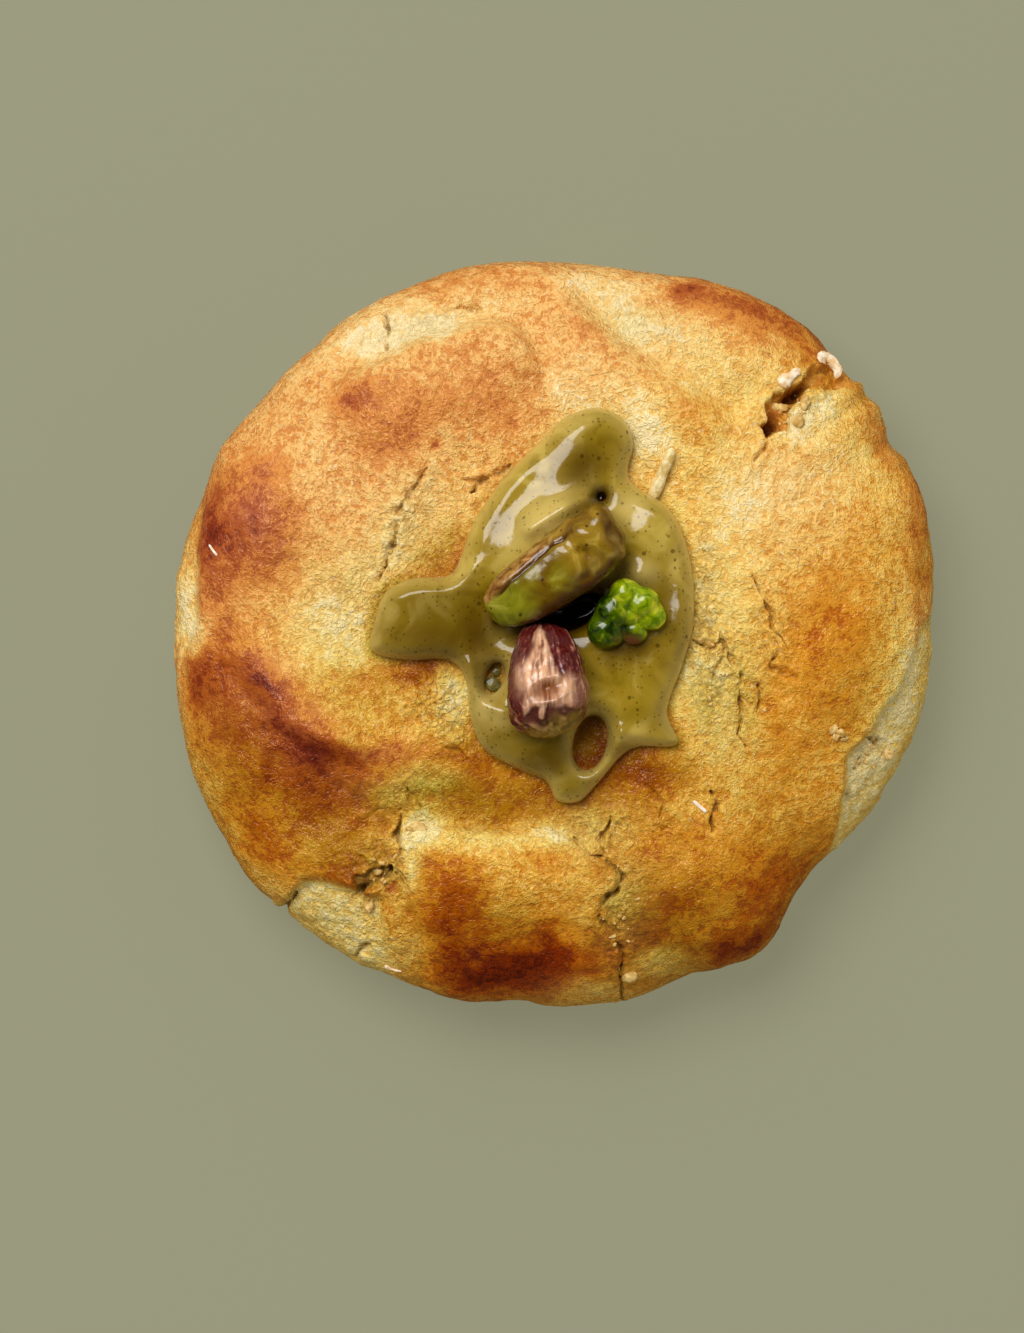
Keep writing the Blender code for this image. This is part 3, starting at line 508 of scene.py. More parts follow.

# baked colour by side of the cookie, with painted shade near the cream and on a slope turned from the light:
# x, y, half length, half width, turn, browning, redness
bakeAndShadeSpots = {
    "middle": [(-11.8, 7, 2.2, 2.6, -25, 0.16, 0), (-8, 15.6, 1.4, 1, 30, 0.1, 0.1),
        # some of these also paint shade: under the cream's arm, on the band sloping down to the south block,
        # under the cream's spike and at its lower-left edge
        (-14.6, -3.6, 5.4, 1.5, 0, 0.26, 0), (-2.3, -18, 7, 2.4, 0, 0.12, 0),
        (-9, -16.6, 19, 3.6, 3, 0.13, 0), (-15.5, -6, 7, 4.6, 0, 0.14, 0), (8, -14.6, 5.4, 3, 0, 0.3, 0),
        (-9.2, -13.2, 4.6, 2.4, -20, 0.22, 0), (17.5, 0, 2.6, 8, 0, 0.08, 0)],
    "north": [(-9, 31.2, 4.6, 1.2, 12, 0.1, 0.2), (-5, 22.6, 4, 3.6, 0, 0.1, 0.4),
        (14.4, 36.6, 2.4, 1.4, 0, 0.25, 0.3), (0.6, 35.4, 3.4, 2.6, 0, 0.1, 0.1),
        (4, 32, 2.6, 3.4, -30, 0.2, 0.1), (10.4, 27.8, 7.4, 2, -36, 0.14, 0.1),
        (-8, 38, 8, 1.8, 4, 0.24, 0.1)],
    "northEast": [(35.4, 20.6, 2.2, 4.4, 25, 0.24, 0.3), (26.8, 31.6, 7.4, 1.9, -42, 0.58, 0.4),
        (18.6, 34.8, 6.8, 2.8, -18, 0.46, 0.35), (16.7, 23.6, 3.4, 2.4, -30, 0.14, 0),
        (24, 15, 8, 9, 0, 0.03, 0.4), (12.6, 23, 2, 2.6, 0, 0.16, 0), (24, 19, 6, 4, 0, 0.06, 0),
        (23, 21.6, 3.6, 2.6, 0, 0.07, 0), (18.4, 27.4, 2.8, 2.4, 0, 0.09, 0)],
    "east": [(26.5, 3, 3.4, 5, 0, 0.1, 0), (31.6, 8, 4.4, 7.5, 10, 0.14, 0),
        (38.2, 14.5, 1.6, 7.5, -10, 0.26, 0.3), (38.6, 5.6, 1.6, 4, 0, 0.2, 0),
        (27.6, -3, 4.6, 7, 0, 0.12, 0), (31, -7.6, 4, 6.5, -28, 0.08, 0), (23.8, -8.6, 2, 6, 0, 0.14, 0),
        (30.5, 0.5, 4.4, 4.4, 0, 0.11, 0), (38.6, 2, 1.2, 5, 0, 0.06, 0.3), (32.5, 12.5, 3, 4, 0, 0.07, 0),
        (28, -7.4, 2.8, 2.8, 0, 0.05, 0)],
    "southEast": [(19.2, -34.2, 9.6, 2.8, 22, 0.5, 0), (23.6, -26, 4.4, 6, 18, 0.34, 0),
        (12.5, -28.5, 9, 6, 5, 0.31, 0), (9, -21.5, 6, 3, 8, 0.18, 0), (28.4, -22.4, 2.4, 6, -20, 0.26, 0),
        (24.5, -14, 5, 5, 0, 0.12, 0)],
    "south": [(-10.6, -26.6, 3.8, 5, 10, 0.31, 0), (-5.2, -35.9, 9.5, 3.4, 4, 0.62, 0),
        (-10.8, -31.8, 3.4, 4.6, 0, 0.29, 0), (-0.6, -33, 4.4, 4, 0, 0.2, 0),
        (-1.8, -23, 4.4, 2.6, 0, 0.16, 0), (8.2, -32.6, 3, 3.6, 0, 0.32, 0),
        (-8.1, -33.5, 0.5, 0.5, 0, 0.3, 0.9), (1.5, -38, 4.4, 2.2, 0, 0.2, 0),
        (8.4, -32.2, 2.6, 2.6, 0, 0.18, 0), (0, -21, 5, 3, 0, 0.08, 0)],
    "southWest": [(-25.2, -13.2, 3.8, 1.8, -24, 0.11, 0.7), (-18.5, -12.2, 4.6, 1.1, -4, 0.16, 0.5),
        (-31.6, -15, 4.6, 7, 20, 0.14, 0), (-30.6, -23, 5.6, 3, -48, 0.28, 0),
        (-12.6, -24.2, 3, 3, 0, 0.08, 0), (-24.5, -18, 8, 5, -30, 0.2, 0), (-21, -15.5, 5, 3.4, -10, 0.13, 0),
        (-16.8, -26.7, 0.4, 0.4, 0, 0.4, 0.4), (-21.8, -26, 3.6, 3.2, -20, 0.3, 0),
        (-19, -28.5, 3, 2, 0, 0.08, 0), (-26.2, -11.2, 5.4, 3, -38, 0.09, 0.5),
        (-18.4, -22.4, 2.6, 2.2, 0, 0.1, 0), (-20.5, -12.8, 4.5, 2.4, 0, 0.12, 0.2)],
    "west": [(-35.4, 9, 2.2, 4.4, 0, 0.2, 0.6), (-37.4, 9.5, 2.2, 5.8, -6, 0.38, 0.5),
        (-28.4, -9.8, 6, 1.8, -44, 0.07, 0.6), (-34.4, -7, 5, 7, 8, 0.19, 0.3),
        (-21, 6.5, 6, 5, 0, 0.08, 0.1), (-26, 10.5, 4, 5, 0, 0.1, 0.5), (-34.4, 2, 4, 6.5, 0, 0.15, 0.4),
        (-31, -4, 5, 3.6, -30, 0.07, 0.5), (-37.6, -5.5, 2.4, 5.5, 0, 0.25, 0.3),
        (-27.6, -10.5, 7.5, 4.4, -34, 0.17, 0.45), (-30.6, -5.4, 3, 0.8, -42, 0.34, 1),
        (-38.2, -2.6, 1.8, 3, 0, 0.16, 0.3)],
    "northWest": [(-31.2, 13, 4.8, 6.4, 8, 0.43, 0.8), (-11.5, 25, 8.8, 5.4, 16, 0.13, 0.5),
        (-21.4, 25.6, 3.6, 2.4, 30, 0.24, 0.5), (-17.2, 19.6, 3.4, 3.8, 0, 0.15, 0.5),
        (-18, 21.5, 6, 3, 20, 0.08, 0.4), (-30.5, 18.4, 4.6, 4.4, 25, -0.1, 0.5),
        (-31.6, 17.2, 3.6, 2.4, -30, 0.12, 0.7), (-12.3, 19.2, 0.5, 0.45, 0, 0.5, 0.8),
        (-21.9, 24.4, 0.6, 0.5, 0, 0.2, 0.8), (-27.5, 14.5, 3.4, 5, 0, -0.08, 0.3),
        (-28.5, 22.2, 2.6, 2.8, 0, 0.09, 0.3), (-13.6, 22.6, 3, 3.6, 0, 0.06, 0.5)],
}

# paler, greener dough, and a painted highlight along the south block's top edge: x, y, half length, half
# width, turn, lightening, green
paleAndHighlightSpots = {
    "middle": [(-16.6, 9.6, 2.8, 5, -15, 0.16, 0.5), (15.6, -4.4, 4.2, 5.4, 0, 0.22, 0.3),
        (16.4, 3.4, 3, 5, 0, 0.12, 0.2), (-10.8, -6.6, 2.4, 3.2, 0, 0.45, 0.4)],
    "north": [(7.8, 33.4, 4.6, 2.9, -36, 0.34, 0.5), (7.6, 22, 2.6, 4, -20, 0.24, 0),
        (3, 37.8, 6, 1.4, 0, 0.14, 0), (1.6, 28.4, 3, 3, 0, 0.06, 0), (2, 37.2, 3.4, 1.6, 0, 0.08, 0),
        (2.2, 24.6, 3, 1.8, 0, 0.2, 0)],
    "northEast": [(17, 27.6, 7, 3, -36, 0.12, 0.3), (21, 14.5, 8, 6, 10, 0.14, 0),
        (26.6, 23.2, 3.6, 2.2, 38, 0.42, 0.1), (13, 27.5, 4, 2.6, -36, 0.12, 0), (30.5, 16, 5, 7, 0, 0.12, 0),
        (18.2, 12.5, 3, 9, 0, 0.1, 0), (9.8, 22.2, 3.2, 2.8, 0, 0.26, 0), (18.4, 22.6, 2.4, 2.4, 0, 0.07, 0),
        (12.6, 18.4, 1.6, 3.4, -20, 0.06, 0)],
    "east": [(35.8, -13.4, 2.8, 10, -28, 0.25, 0), (37.5, -2, 2, 6, 0, 0.14, 0),
        (37.6, -6, 2.2, 4.5, -10, 0.24, 0)],
    "southEast": [(34, -15, 2.4, 7, -28, 0.16, 0), (17.6, -11, 2.4, 3.2, 0, 0.07, 0.3)],
    # the first two entries and the last one paint the highlight on the block's top edge
    "south": [(-0.8, -20.7, 2.2, 0.9, 0, 0.5, 0.2), (-7.8, -21.6, 8.6, 1.4, 0, 0.24, 0.1),
        (10.4, -34.2, 3.4, 2.6, 0, 0.42, 0.2), (7.2, -28.4, 2.6, 5.4, 0, 0.2, 0.4),
        (3.2, -38, 4, 1.4, 0, 0.25, 0.3), (2.2, -32.4, 1.4, 2.6, 0, 0.1, 0),
        (4, -19.8, 3.6, 2.8, 0, 0.12, 0.4), (-0.6, -20.6, 2.2, 0.9, 0, 0.1, 0.2)],
    # the entries at (-14.2, -20.5), (-15.2, -23.8) and (-13.6, -20.4) paint the highlight on the block's
    # corner and left edge
    "southWest": [(-24, -31, 7, 3, -30, 0.16, 0.35), (-17.6, -23.6, 3, 2.4, 0, 0.04, 0.3),
        (-14.2, -20.5, 2.6, 1.1, 0, 0.65, 0.1), (-15.6, -16.4, 4.6, 2, 0, 0.2, 0.4),
        (-15.2, -23.8, 0.7, 3.8, 6, 0.28, 0.1), (-13.6, -20.4, 2, 1, -5, 0.1, 0.2)],
    "west": [(-23.5, 0.2, 5.2, 3.4, 0, 0.26, 0.3), (-20.8, 5.2, 6, 4.6, 0, 0.12, 0.4),
        (-38.7, 2.4, 1.8, 3.4, -4, 0.85, 0.1)],
    "northWest": [(-13.8, 32.8, 6.2, 2, 15, 0.34, 0.4), (-19, 31, 3.4, 2.4, 30, 0.24, 0.2),
        (-14.5, 32.6, 5, 1.8, 15, 0.1, 0.1)],
}

# dough darkened by butter, and painted shade on the south side and beside the cream: x, y, half length, half
# width, turn, amount
oilAndShadeSpots = {
    "southBand": (-8, -17, 21, 3.4, 2, 0.95), "southWest": (-24, -20.5, 9, 5, -30, 0.9),
    "southMiddle": (12, -29.5, 9.5, 7, 0, 0.8), "southEast": (22.5, -20, 7.5, 8, 0, 0.35),
    "southRight": (8, -19.5, 7, 4, 0, 0.3), "southEastLow": (21, -31, 9, 4, 22, 0.6),
    "blockLow": (-7.5, -31, 9, 6, 0, 0.55), "leftLow": (-32, -14.5, 5, 8, 20, 0.7),
    "creamRight": (15.8, -7, 2.2, 5, 0, 0.45), "creamLeft": (-12, 7.6, 2.2, 3, -25, 0.9),
    "belowArm": (-13.5, -4.2, 6, 1.8, 0, 0.8), "creamSouthWest": (-9.5, -11.5, 3.4, 3.4, 0, 0.7),
    "underSpike": (8.4, -14, 6.5, 3, -10, 1), "rightEdge": (32, -6, 4, 7, -20, 0.45),
    "leftBelowArm": (-21, -6, 8, 4.5, 0, 0.5), "crackLine": (20.5, -6.5, 3, 6, 0, 0.4),
}

# places kept free of butter and of painted shade: x, y, half length, half width, turn
dryUnshadedPlaces = {
    "leftOfCream": (-10.6, -6.4, 2.2, 3, 0), "blockCorner": (-13.8, -20.6, 3.4, 1.2, 0),
    "blockLeftEdge": (-15.6, -23.6, 1.2, 4.2, 6), "blockTopRight": (-1, -20.8, 4, 0.9, 0),
}
bakeLook = {
    "plain": 0.35, "warp": 1.3, "warpSize": 5.5, "mottle": 0.07, "peachAndSheen": 0.5, "oilAndShade": 0.13, "oilAndShadeReach": 0.8,
    "cavity": (29.3, 27.2, 2, 1.3, 0), "cavityBake": 0.58,         # the browned pocket of the hole
    "brownWall": (25.6, 24.6, 6, 4, 38), "brownBake": 0.66,        # and the rest of it
    "mottleWaves": [(4.2, 0.6, 45), (1.8, 0.5, 46)],
    "wallBake": 0.44, "lowBake": 0.22, "footBake": 0.66,           # the wall, what its low part adds, foot
    "tierBake": (0.03, 0.07), "tierGreen": (0.1, 0.3),             # torn ledges at the right and at the left
    "darkest": 0.62,                                               # browning past this is held back
    # the crust seen in the cream's window and eye: browner as painted shade, and painted shade darkest under
    # their upper edge
    "gapBrowningAndShade": {"window": 0.16, "eye": 0}, "gapShade": {"window": 0.25, "eye": 0.45},
}

# ramps hold a place, then red, green and blue as a screen shows them
crustPaint = {
    "golden": [(0, 252, 232, 166), (0.16, 250, 214, 112), (0.36, 242, 188, 80), (0.54, 221, 147, 34),
               (0.7, 184, 92, 2), (0.85, 140, 46, 0), (1, 96, 18, 0)],
    "ruddy": [(0, 250, 222, 184), (0.3, 238, 180, 124), (0.52, 214, 128, 82), (0.7, 162, 78, 54),
              (0.86, 110, 38, 30), (1, 74, 16, 8)],
    "greenDough": (220, 204, 116), "inside": (204, 170, 86), "paintedHoleShade": (104, 42, 8), "paintedPitShade": (112, 62, 8),
    "paintedGlint": (255, 234, 184), "oilAndShade": (196, 198, 112), "gloss": (255, 230, 192),
    "roughness": (0.15, 0.34), "bumpDistance": 0.48,
}


def makeCrustMaterial(piece):
    tree, place = startMaterial(piece, "bakedCrust")
    bake, ruddyMask, greenMask = layerMasks(tree, "bakeAndShadeMap")
    torn, crumbly, recessShade = layerMasks(tree, "tornAndShadeMap")
    grain = addGroup(tree, grainGroup, Vector=place, Crumbly=crumbly).outputs
    blotch = mapRange(tree, noise(tree, place, 420, 3, 0.4), 0.3, 0.7, -0.05, 0.05)
    calm = mapRange(tree, bake, 0.3, 0.62, 1, 0.45)
    shade = times(tree, mapRange(tree, grain["Speckle"], 0, 1, 0.13, -0.11), calm)
    browning = plus(tree, plus(tree, bake, blotch), shade, clamp=True)
    colour = mixColour(tree, ruddyMask, colourRamp(tree, browning, crustPaint["golden"]),
                       colourRamp(tree, browning, crustPaint["ruddy"]))
    # over the browned colour: greener dough, torn dough, painted shade in the pits and deep recesses, and
    # painted glints
    colour = paintOver(
        tree, colour, (greenMask, 0.75, crustPaint["greenDough"]), (torn, 0.8, crustPaint["inside"]),
        (grain["PitShade"], 0.55, crustPaint["paintedPitShade"]), (recessShade, 1, crustPaint["paintedHoleShade"]),
        # pale flecks on the paler dough: painted glints
        (grain["PaintedGlints"], mapRange(tree, bake, 0.3, 0.6, 0.5, 0), crustPaint["paintedGlint"]))
    smooth, rough = crustPaint["roughness"]
    setShader(tree, {
        # darkened by butter and by painted shade
        "Base Color": mixColour(tree, layerMask(tree, "oilAndShadeMap"), colour, crustPaint["oilAndShade"], "MULTIPLY"),
        "Roughness": mapRange(tree, grain["Speckle"], 0, 1, rough, smooth),
        "Specular IOR Level": 0.44, "Specular Tint": crustPaint["gloss"],
    }, times(tree, grain["Height"], mapRange(tree, bake, 0.35, 0.7, 1, 0.62)), 1, crustPaint["bumpDistance"])


def rimRadius(angle):
    degrees = np.degrees(angle)
    twice = np.radians(2 * (degrees - cookie["rimOvalAngle"]))
    radius = cookie["rimRadius"] + cookie["rimOval"] * np.cos(twice)
    for direction, reach, halfWidth in cookie["rimLobes"]:
        radius += reach * bump((degrees - direction + 180) % 360 - 180, 0, halfWidth)
    return radius


# the cookie's side from the top of the crown to the middle of the foot
def sideProfile():
    steps, foot = cookie["profileSteps"], cookie["footShare"]
    widest, ground = steps - 1, 2 * (steps - 1)
    turn = np.linspace(0, math.pi / 2, steps)
    power = 2 / cookie["crownPower"]
    crownHeight = cookie["widestHeight"] + cookie["crownRise"] * np.cos(turn).clip(0) ** power
    wallShare, wallHeight = foot + (1 - foot) * np.cos(turn), cookie["widestHeight"] * (1 - np.sin(turn))
    share = np.concatenate([np.sin(turn) ** power, wallShare[1:], foot * (1 - turn / turn[-1])[1:]])
    height = np.concatenate([crownHeight, wallHeight[1:], np.zeros(steps - 1)])
    length = np.hypot(np.diff(share) * cookie["rimRadius"], np.diff(height))
    area = length * 0.5 * (share[:-1] + share[1:])
    area[widest:ground] *= cookie["wallDetail"]
    area[ground:] *= cookie["footDetail"]
    covered = np.concatenate([[0], np.cumsum(area) / area.sum()])
    sideways = np.gradient(-height) / np.hypot(np.gradient(share * cookie["rimRadius"]), np.gradient(height))
    return share, height, covered, sideways


# where the directions of a ball land: the share of the ball above them, outwards, and the place on the plan
def landing(directions):
    share, _, covered, _ = sideProfile()
    down = (1 - directions[:, 2]) / 2
    angle = np.arctan2(directions[:, 1], directions[:, 0])
    spoke = np.column_stack([np.cos(angle), np.sin(angle)])
    return down, spoke, spoke * (np.interp(down, covered, share) * rimRadius(angle))[:, None]


# the height that folds add, and how far each place lies on a torn shelf below a fold
def foldRelief(plan, z):
    relief, torn = np.zeros((2, len(plan)))
    flat = withHeight(plan)
    sway = 0.3 * np.column_stack([waves(flat, 2.4, seed) for seed in (31, 32)])
    for fold in folds.values():
        distance, side, along = pathDistance(plan + sway, smoothCurve(fold["path"]))
        signed = distance * side
        ends = softStep(np.minimum(along, 1 - along), -1e-6, fold.get("ends", 0))
        step = softStep(signed, -fold["edge"], fold["edge"])
        if "block" in fold:
            carry = spot(plan, *fold["block"])
        else:
            carry = bump(np.maximum(signed, 0), 0, fold["reachUp"])
        if "shelf" in fold:
            fall = fold["shelf"] * np.maximum(z - cookie["widestHeight"], 0)
            torn = np.maximum(torn, fold["torn"] * (1 - softStep(signed, -0.25, 0.1)) * ends)
        else:
            fall = fold["drop"] * bump(np.maximum(-signed, 0), 0, fold["reachDown"])
        relief += (fold["rise"] * step * carry - fall * (1 - step)) * ends
    return relief, torn


def crackWander(plan):
    flat = withHeight(plan)
    return crackLook["wander"] * np.column_stack([
        waves(flat, crackLook["wanderSize"], seed) + 0.22 * waves(flat, 0.6, seed + 2)
        + 0.08 * waves(flat, 0.28, seed + 22) for seed in (3, 4)])


# how deep the cracks cut, how high their lips stand, and how deep the openings are
def crackShape(plan):
    flat = withHeight(plan)
    strayed = plan + crackWander(plan)
    uneven = (0.9 + crackLook["uneven"] * waves(flat, 1, 7)).clip(0.05)
    width = uneven * (1 + 0.5 * waves(flat, 0.4, 34))
    depthShare = softStep(uneven, 0.1, 0.8) * (1 + 0.5 * waves(flat, 0.5, 33))
    cut, lip, opened = np.zeros((3, len(plan)))
    for path, halfWidth, depth in cracks.values():
        distance, _, along = pathDistance(strayed, np.array(path))
        taper = halfWidth * (0.35 + 0.65 * np.sin(math.pi * along.clip(0.04, 0.96))) * width
        reach = 1 - softStep(distance, 0.3 * taper, 1.8 * taper + 0.04)
        cut = np.maximum(cut, depth * reach * depthShare)
        lip = np.maximum(lip, crackLook["lip"] * bump(distance, 2.6 * halfWidth + 0.15, 0.4))
    ragged = openingLook["ragged"] * waveSum(flat, openingLook["waves"])
    rough = 1 + 0.35 * waves(flat, 1, 10) + 0.15 * waves(flat, 0.45, 30)
    for opening in openings.values():
        inside = outlineDistance(plan, np.array(opening["outline"])) + ragged
        floor = opening["depth"] * rough
        for *place, extra in opening["deep"]:
            floor += extra * spot(plan, *place, power=4)
        opened = np.maximum(opened, floor * softStep(inside, -0.05, openingLook["wall"]))
    return cut, lip, opened


def shapeCrust(directions):
    share, height, covered, sideways = sideProfile()
    down, spoke, plan = landing(directions)
    onCrown = down < covered[cookie["profileSteps"] - 1]
    onFoot = down > covered[2 * (cookie["profileSteps"] - 1)]
    z, outward, radiusShare = (np.interp(down, covered, values) for values in (height, sideways, share))
    upward = np.where(onCrown, np.sqrt(np.maximum(1 - outward ** 2, 0)), 0)
    folded, tier = foldRelief(plan, z)
    lift = (spotSum(plan, mounds.values()) + folded) * np.where(onCrown, 1, z / cookie["widestHeight"])
    cut, lip, opened = crackShape(plan)
    crumbly = np.maximum(spotSum(plan, crumblyZones.values()), 0.25 * tier).clip(0, 1)
    points = np.column_stack([plan, z])
    lumps = waveSum(points, lumpWaves)
    crumb = waveSum(points, crumbWaves) + crumbly * lumps
    crumb *= 1 - 0.85 * softStep(outlineDistance(plan, creamEdge()), -0.8, 1.2)
    crumb += lip - np.maximum(cut, opened)
    crumb *= np.where(onCrown, 1, 0.5 * softStep(z, 0, cookie["widestHeight"]) + 0.1)
    points[:, :2] += spoke * (outward * crumb)[:, None]
    points[:, 2] += upward * crumb + lift
    points[onFoot, 2] = 0
    return points, plan, {"cut": cut, "opened": opened, "crumbly": crumbly, "lumps": lumps, "tier": tier,
                          "share": radiusShare, "onCrown": onCrown, "onFoot": onFoot}


# adds what a table's spots do to the browning, and keeps the strongest tint
def addSpots(plan, table, browning, tint, sign=1):
    for *place, amount, strength in itertools.chain(*table.values()):
        here = spot(plan, *place)
        browning = browning + sign * amount * here
        tint = np.maximum(tint, strength * here)
    return browning, tint


def paintCrust(piece, points, plan, relief):
    cut, opened, tier, share = (relief[name] for name in ("cut", "opened", "tier", "share"))
    lowerLeft = -0.6 * plan[:, 0] - 0.8 * plan[:, 1]
    warped = plan + bakeLook["warp"] * np.column_stack([
        waves(points, bakeLook["warpSize"], seed) + 0.45 * waves(points, 1.9, seed + 2) for seed in (41, 42)])
    # pinker towards the north-west, the lit side: the dough's own tint, and a painted sheen
    peachAndSheen = softStep(plan[:, 1] - 0.6 * plan[:, 0] + 3 * waves(points, 9, 49), 2, 30)
    bake, ruddy = addSpots(warped, bakeAndShadeSpots, bakeLook["plain"], bakeLook["peachAndSheen"] * peachAndSheen)
    bake, green = addSpots(warped, paleAndHighlightSpots, bake, 0, -1)
    bake += bakeLook["mottle"] * waveSum(points, bakeLook["mottleWaves"])
    fromCream = np.maximum(-creamInside(warped * 0.15 + plan * 0.85), 0)
    # browner beside the cream towards its lower left: soaked dough and painted shade
    bake += bakeLook["oilAndShade"] * softStep(lowerLeft, -12, 4) * bump(fromCream, 0, bakeLook["oilAndShadeReach"])
    gaps = {name: outlineDistance(plan, ovalRing(*cream[name])) for name in creamGaps}
    for name, gap in gaps.items():
        bake += bakeLook["gapBrowningAndShade"][name] * softStep(gap, -0.3, 0.3)
        ruddy *= 1 - softStep(gap, -0.3, 0.3)

    wall = 0.6 * np.where(relief["onCrown"], softStep(share, 0.95, 1), 1)
    low = 1 - softStep(points[:, 2], 0, 4)
    wallBake = (bakeLook["wallBake"] + bakeLook["lowBake"] * low + 0.12 * waves(points, 6, 47)
                + 0.06 * waves(points, 2, 48))
    bake = bake * (1 - wall) + wall * np.where(relief["onFoot"], bakeLook["footBake"], wallBake)
    onRight = plan[:, 0] > 0
    tierBake = (np.where(onRight, *bakeLook["tierBake"]) + 0.2 * softStep(share, 0.94, 1)
                + 0.1 * waves(points, 2, 50))
    tierHere = tier * softStep(points[:, 2] + 1.2 * waves(points, 2.6, 39), 1, 8)
    # torn tiers take their own browning; on crumbly places the raised lumps are painted paler and their
    # hollows darker, as painted light and shade
    bake = bake * (1 - tierHere) + tierBake * tierHere - 0.35 * relief["crumbly"] * relief["lumps"]
    green = np.maximum(green, tierHere * np.where(onRight, *bakeLook["tierGreen"]))

    cavity = softStep(opened, 0.2, 0.8) * spot(plan, *bakeLook["cavity"])
    brown = softStep(opened, 0.3, 1) * spot(plan, *bakeLook["brownWall"], power=4) * (1 - cavity)
    torn = softStep(np.maximum(cut, 0.8 * opened), 0.2, 1) * (1 - cavity) * (1 - 0.85 * brown)
    ruddy *= (1 - tierHere) * (1 - cavity) * (1 - 0.7 * brown)
    bake += (bakeLook["cavityBake"] - bake) * cavity
    bake += (bakeLook["brownBake"] - bake) * brown
    bake -= 0.25 * np.maximum(bake - bakeLook["darkest"], 0)
    # painted shade deep in the openings and cracks, and in the cream's window and eye, darkest under their
    # upper edge
    recessShade = np.maximum(0.9 * softStep(opened, 1.9, 3), 0.5 * softStep(cut, 0.25, 0.7))
    for name, shade in bakeLook["gapShade"].items():
        _, y, _, halfHeight, _ = cream[name]
        upper = softStep((plan[:, 1] - y) / halfHeight, -0.2, 1)
        recessShade = np.maximum(recessShade, softStep(gaps[name], -0.3, 0.4) * (shade + (0.8 - shade) * upper))

    # a darker band round the cream, strongest to its lower left: soaked dough and painted shade
    wetAndShade = 0.9 * (0.35 + 0.65 * softStep(lowerLeft, -10, 4)) * bump(fromCream, 0, 0.7)
    oilAndShade = np.maximum(spotPeak(warped, oilAndShadeSpots.values()), wetAndShade) * (1 - tier)
    for place in dryUnshadedPlaces.values():
        oilAndShade *= 1 - spot(plan, *place)
    # the crust in the cream's window and eye is darkened as painted shade
    for gap in gaps.values():
        oilAndShade = np.maximum(oilAndShade, 1.6 * softStep(gap, -0.3, 0.3))
    addLayer(piece, "oilAndShadeMap", oilAndShade)
    addLayer(piece, "bakeAndShadeMap", bake, ruddy, green)
    addLayer(piece, "tornAndShadeMap", torn, relief["crumbly"], recessShade)


# where the middle of each face of the ball lands, and whether it is above the foot
def planOfFaces(piece):
    middles = np.empty(len(piece.data.polygons) * 3)
    piece.data.polygons.foreach_get("center", middles)
    down, _, plan = landing(unit(middles.reshape(-1, 3)))
    return plan, down < sideProfile()[2][2 * cookie["profileSteps"] - cookie["footSteps"]]


# cuts each picked face of the ball into smaller ones
def splitFaces(piece, picked):
    makeActive(piece)
    bpy.context.tool_settings.mesh_select_mode = (False, False, True)
    bpy.ops.object.mode_set(mode="EDIT")
    bpy.ops.mesh.select_all(action="DESELECT")
    bpy.ops.object.mode_set(mode="OBJECT")
    piece.data.polygons.foreach_set("select", picked)
    bpy.ops.object.mode_set(mode="EDIT")
    bpy.ops.mesh.subdivide(number_cuts=1)
    bpy.ops.mesh.select_all(action="SELECT")
    bpy.ops.mesh.quads_convert_to_tris()
    bpy.ops.object.mode_set(mode="OBJECT")


def nearestCrack(plan):
    strayed = plan + crackWander(plan)
    nearest = np.full(len(plan), farAway)
    for path, halfWidth, _ in cracks.values():
        nearest = np.minimum(nearest, pathDistance(strayed, np.array(path))[0] - halfWidth)
    for opening in openings.values():
        nearest = np.minimum(nearest, np.maximum(-outlineDistance(plan, np.array(opening["outline"])), 0))
    return nearest


def makeCrust():
    crust, _ = addBall("crust", 7)
    plan, onTop = planOfFaces(crust)
    bare = onTop & (outlineDistance(plan, creamEdge()) < cookie["clearOfCream"])
    tier = foldRelief(plan, 0)[1]
    torn = (spotSum(plan, crumblyZones.values()) > cookie["tornEnough"]) | ((tier > 0.05) & (tier < 0.95))
    splitFaces(crust, bare & (torn | (nearestCrack(plan) < cookie["nearCrack"])))
    plan, onTop = planOfFaces(crust)
    bare = onTop & (outlineDistance(plan, creamEdge()) < 0.6 * cookie["clearOfCream"])
    splitFaces(crust, bare & (nearestCrack(plan) < cookie["besideCrack"]))
    points, plan, relief = shapeCrust(unit(readPoints(crust.data)))
    setPoints(crust, points)
    paintCrust(crust, points, plan, relief)
    makeCrustMaterial(crust)
    finishPiece(crust, "cookie")
    print("crust:", len(crust.data.polygons), "faces")
    return crust


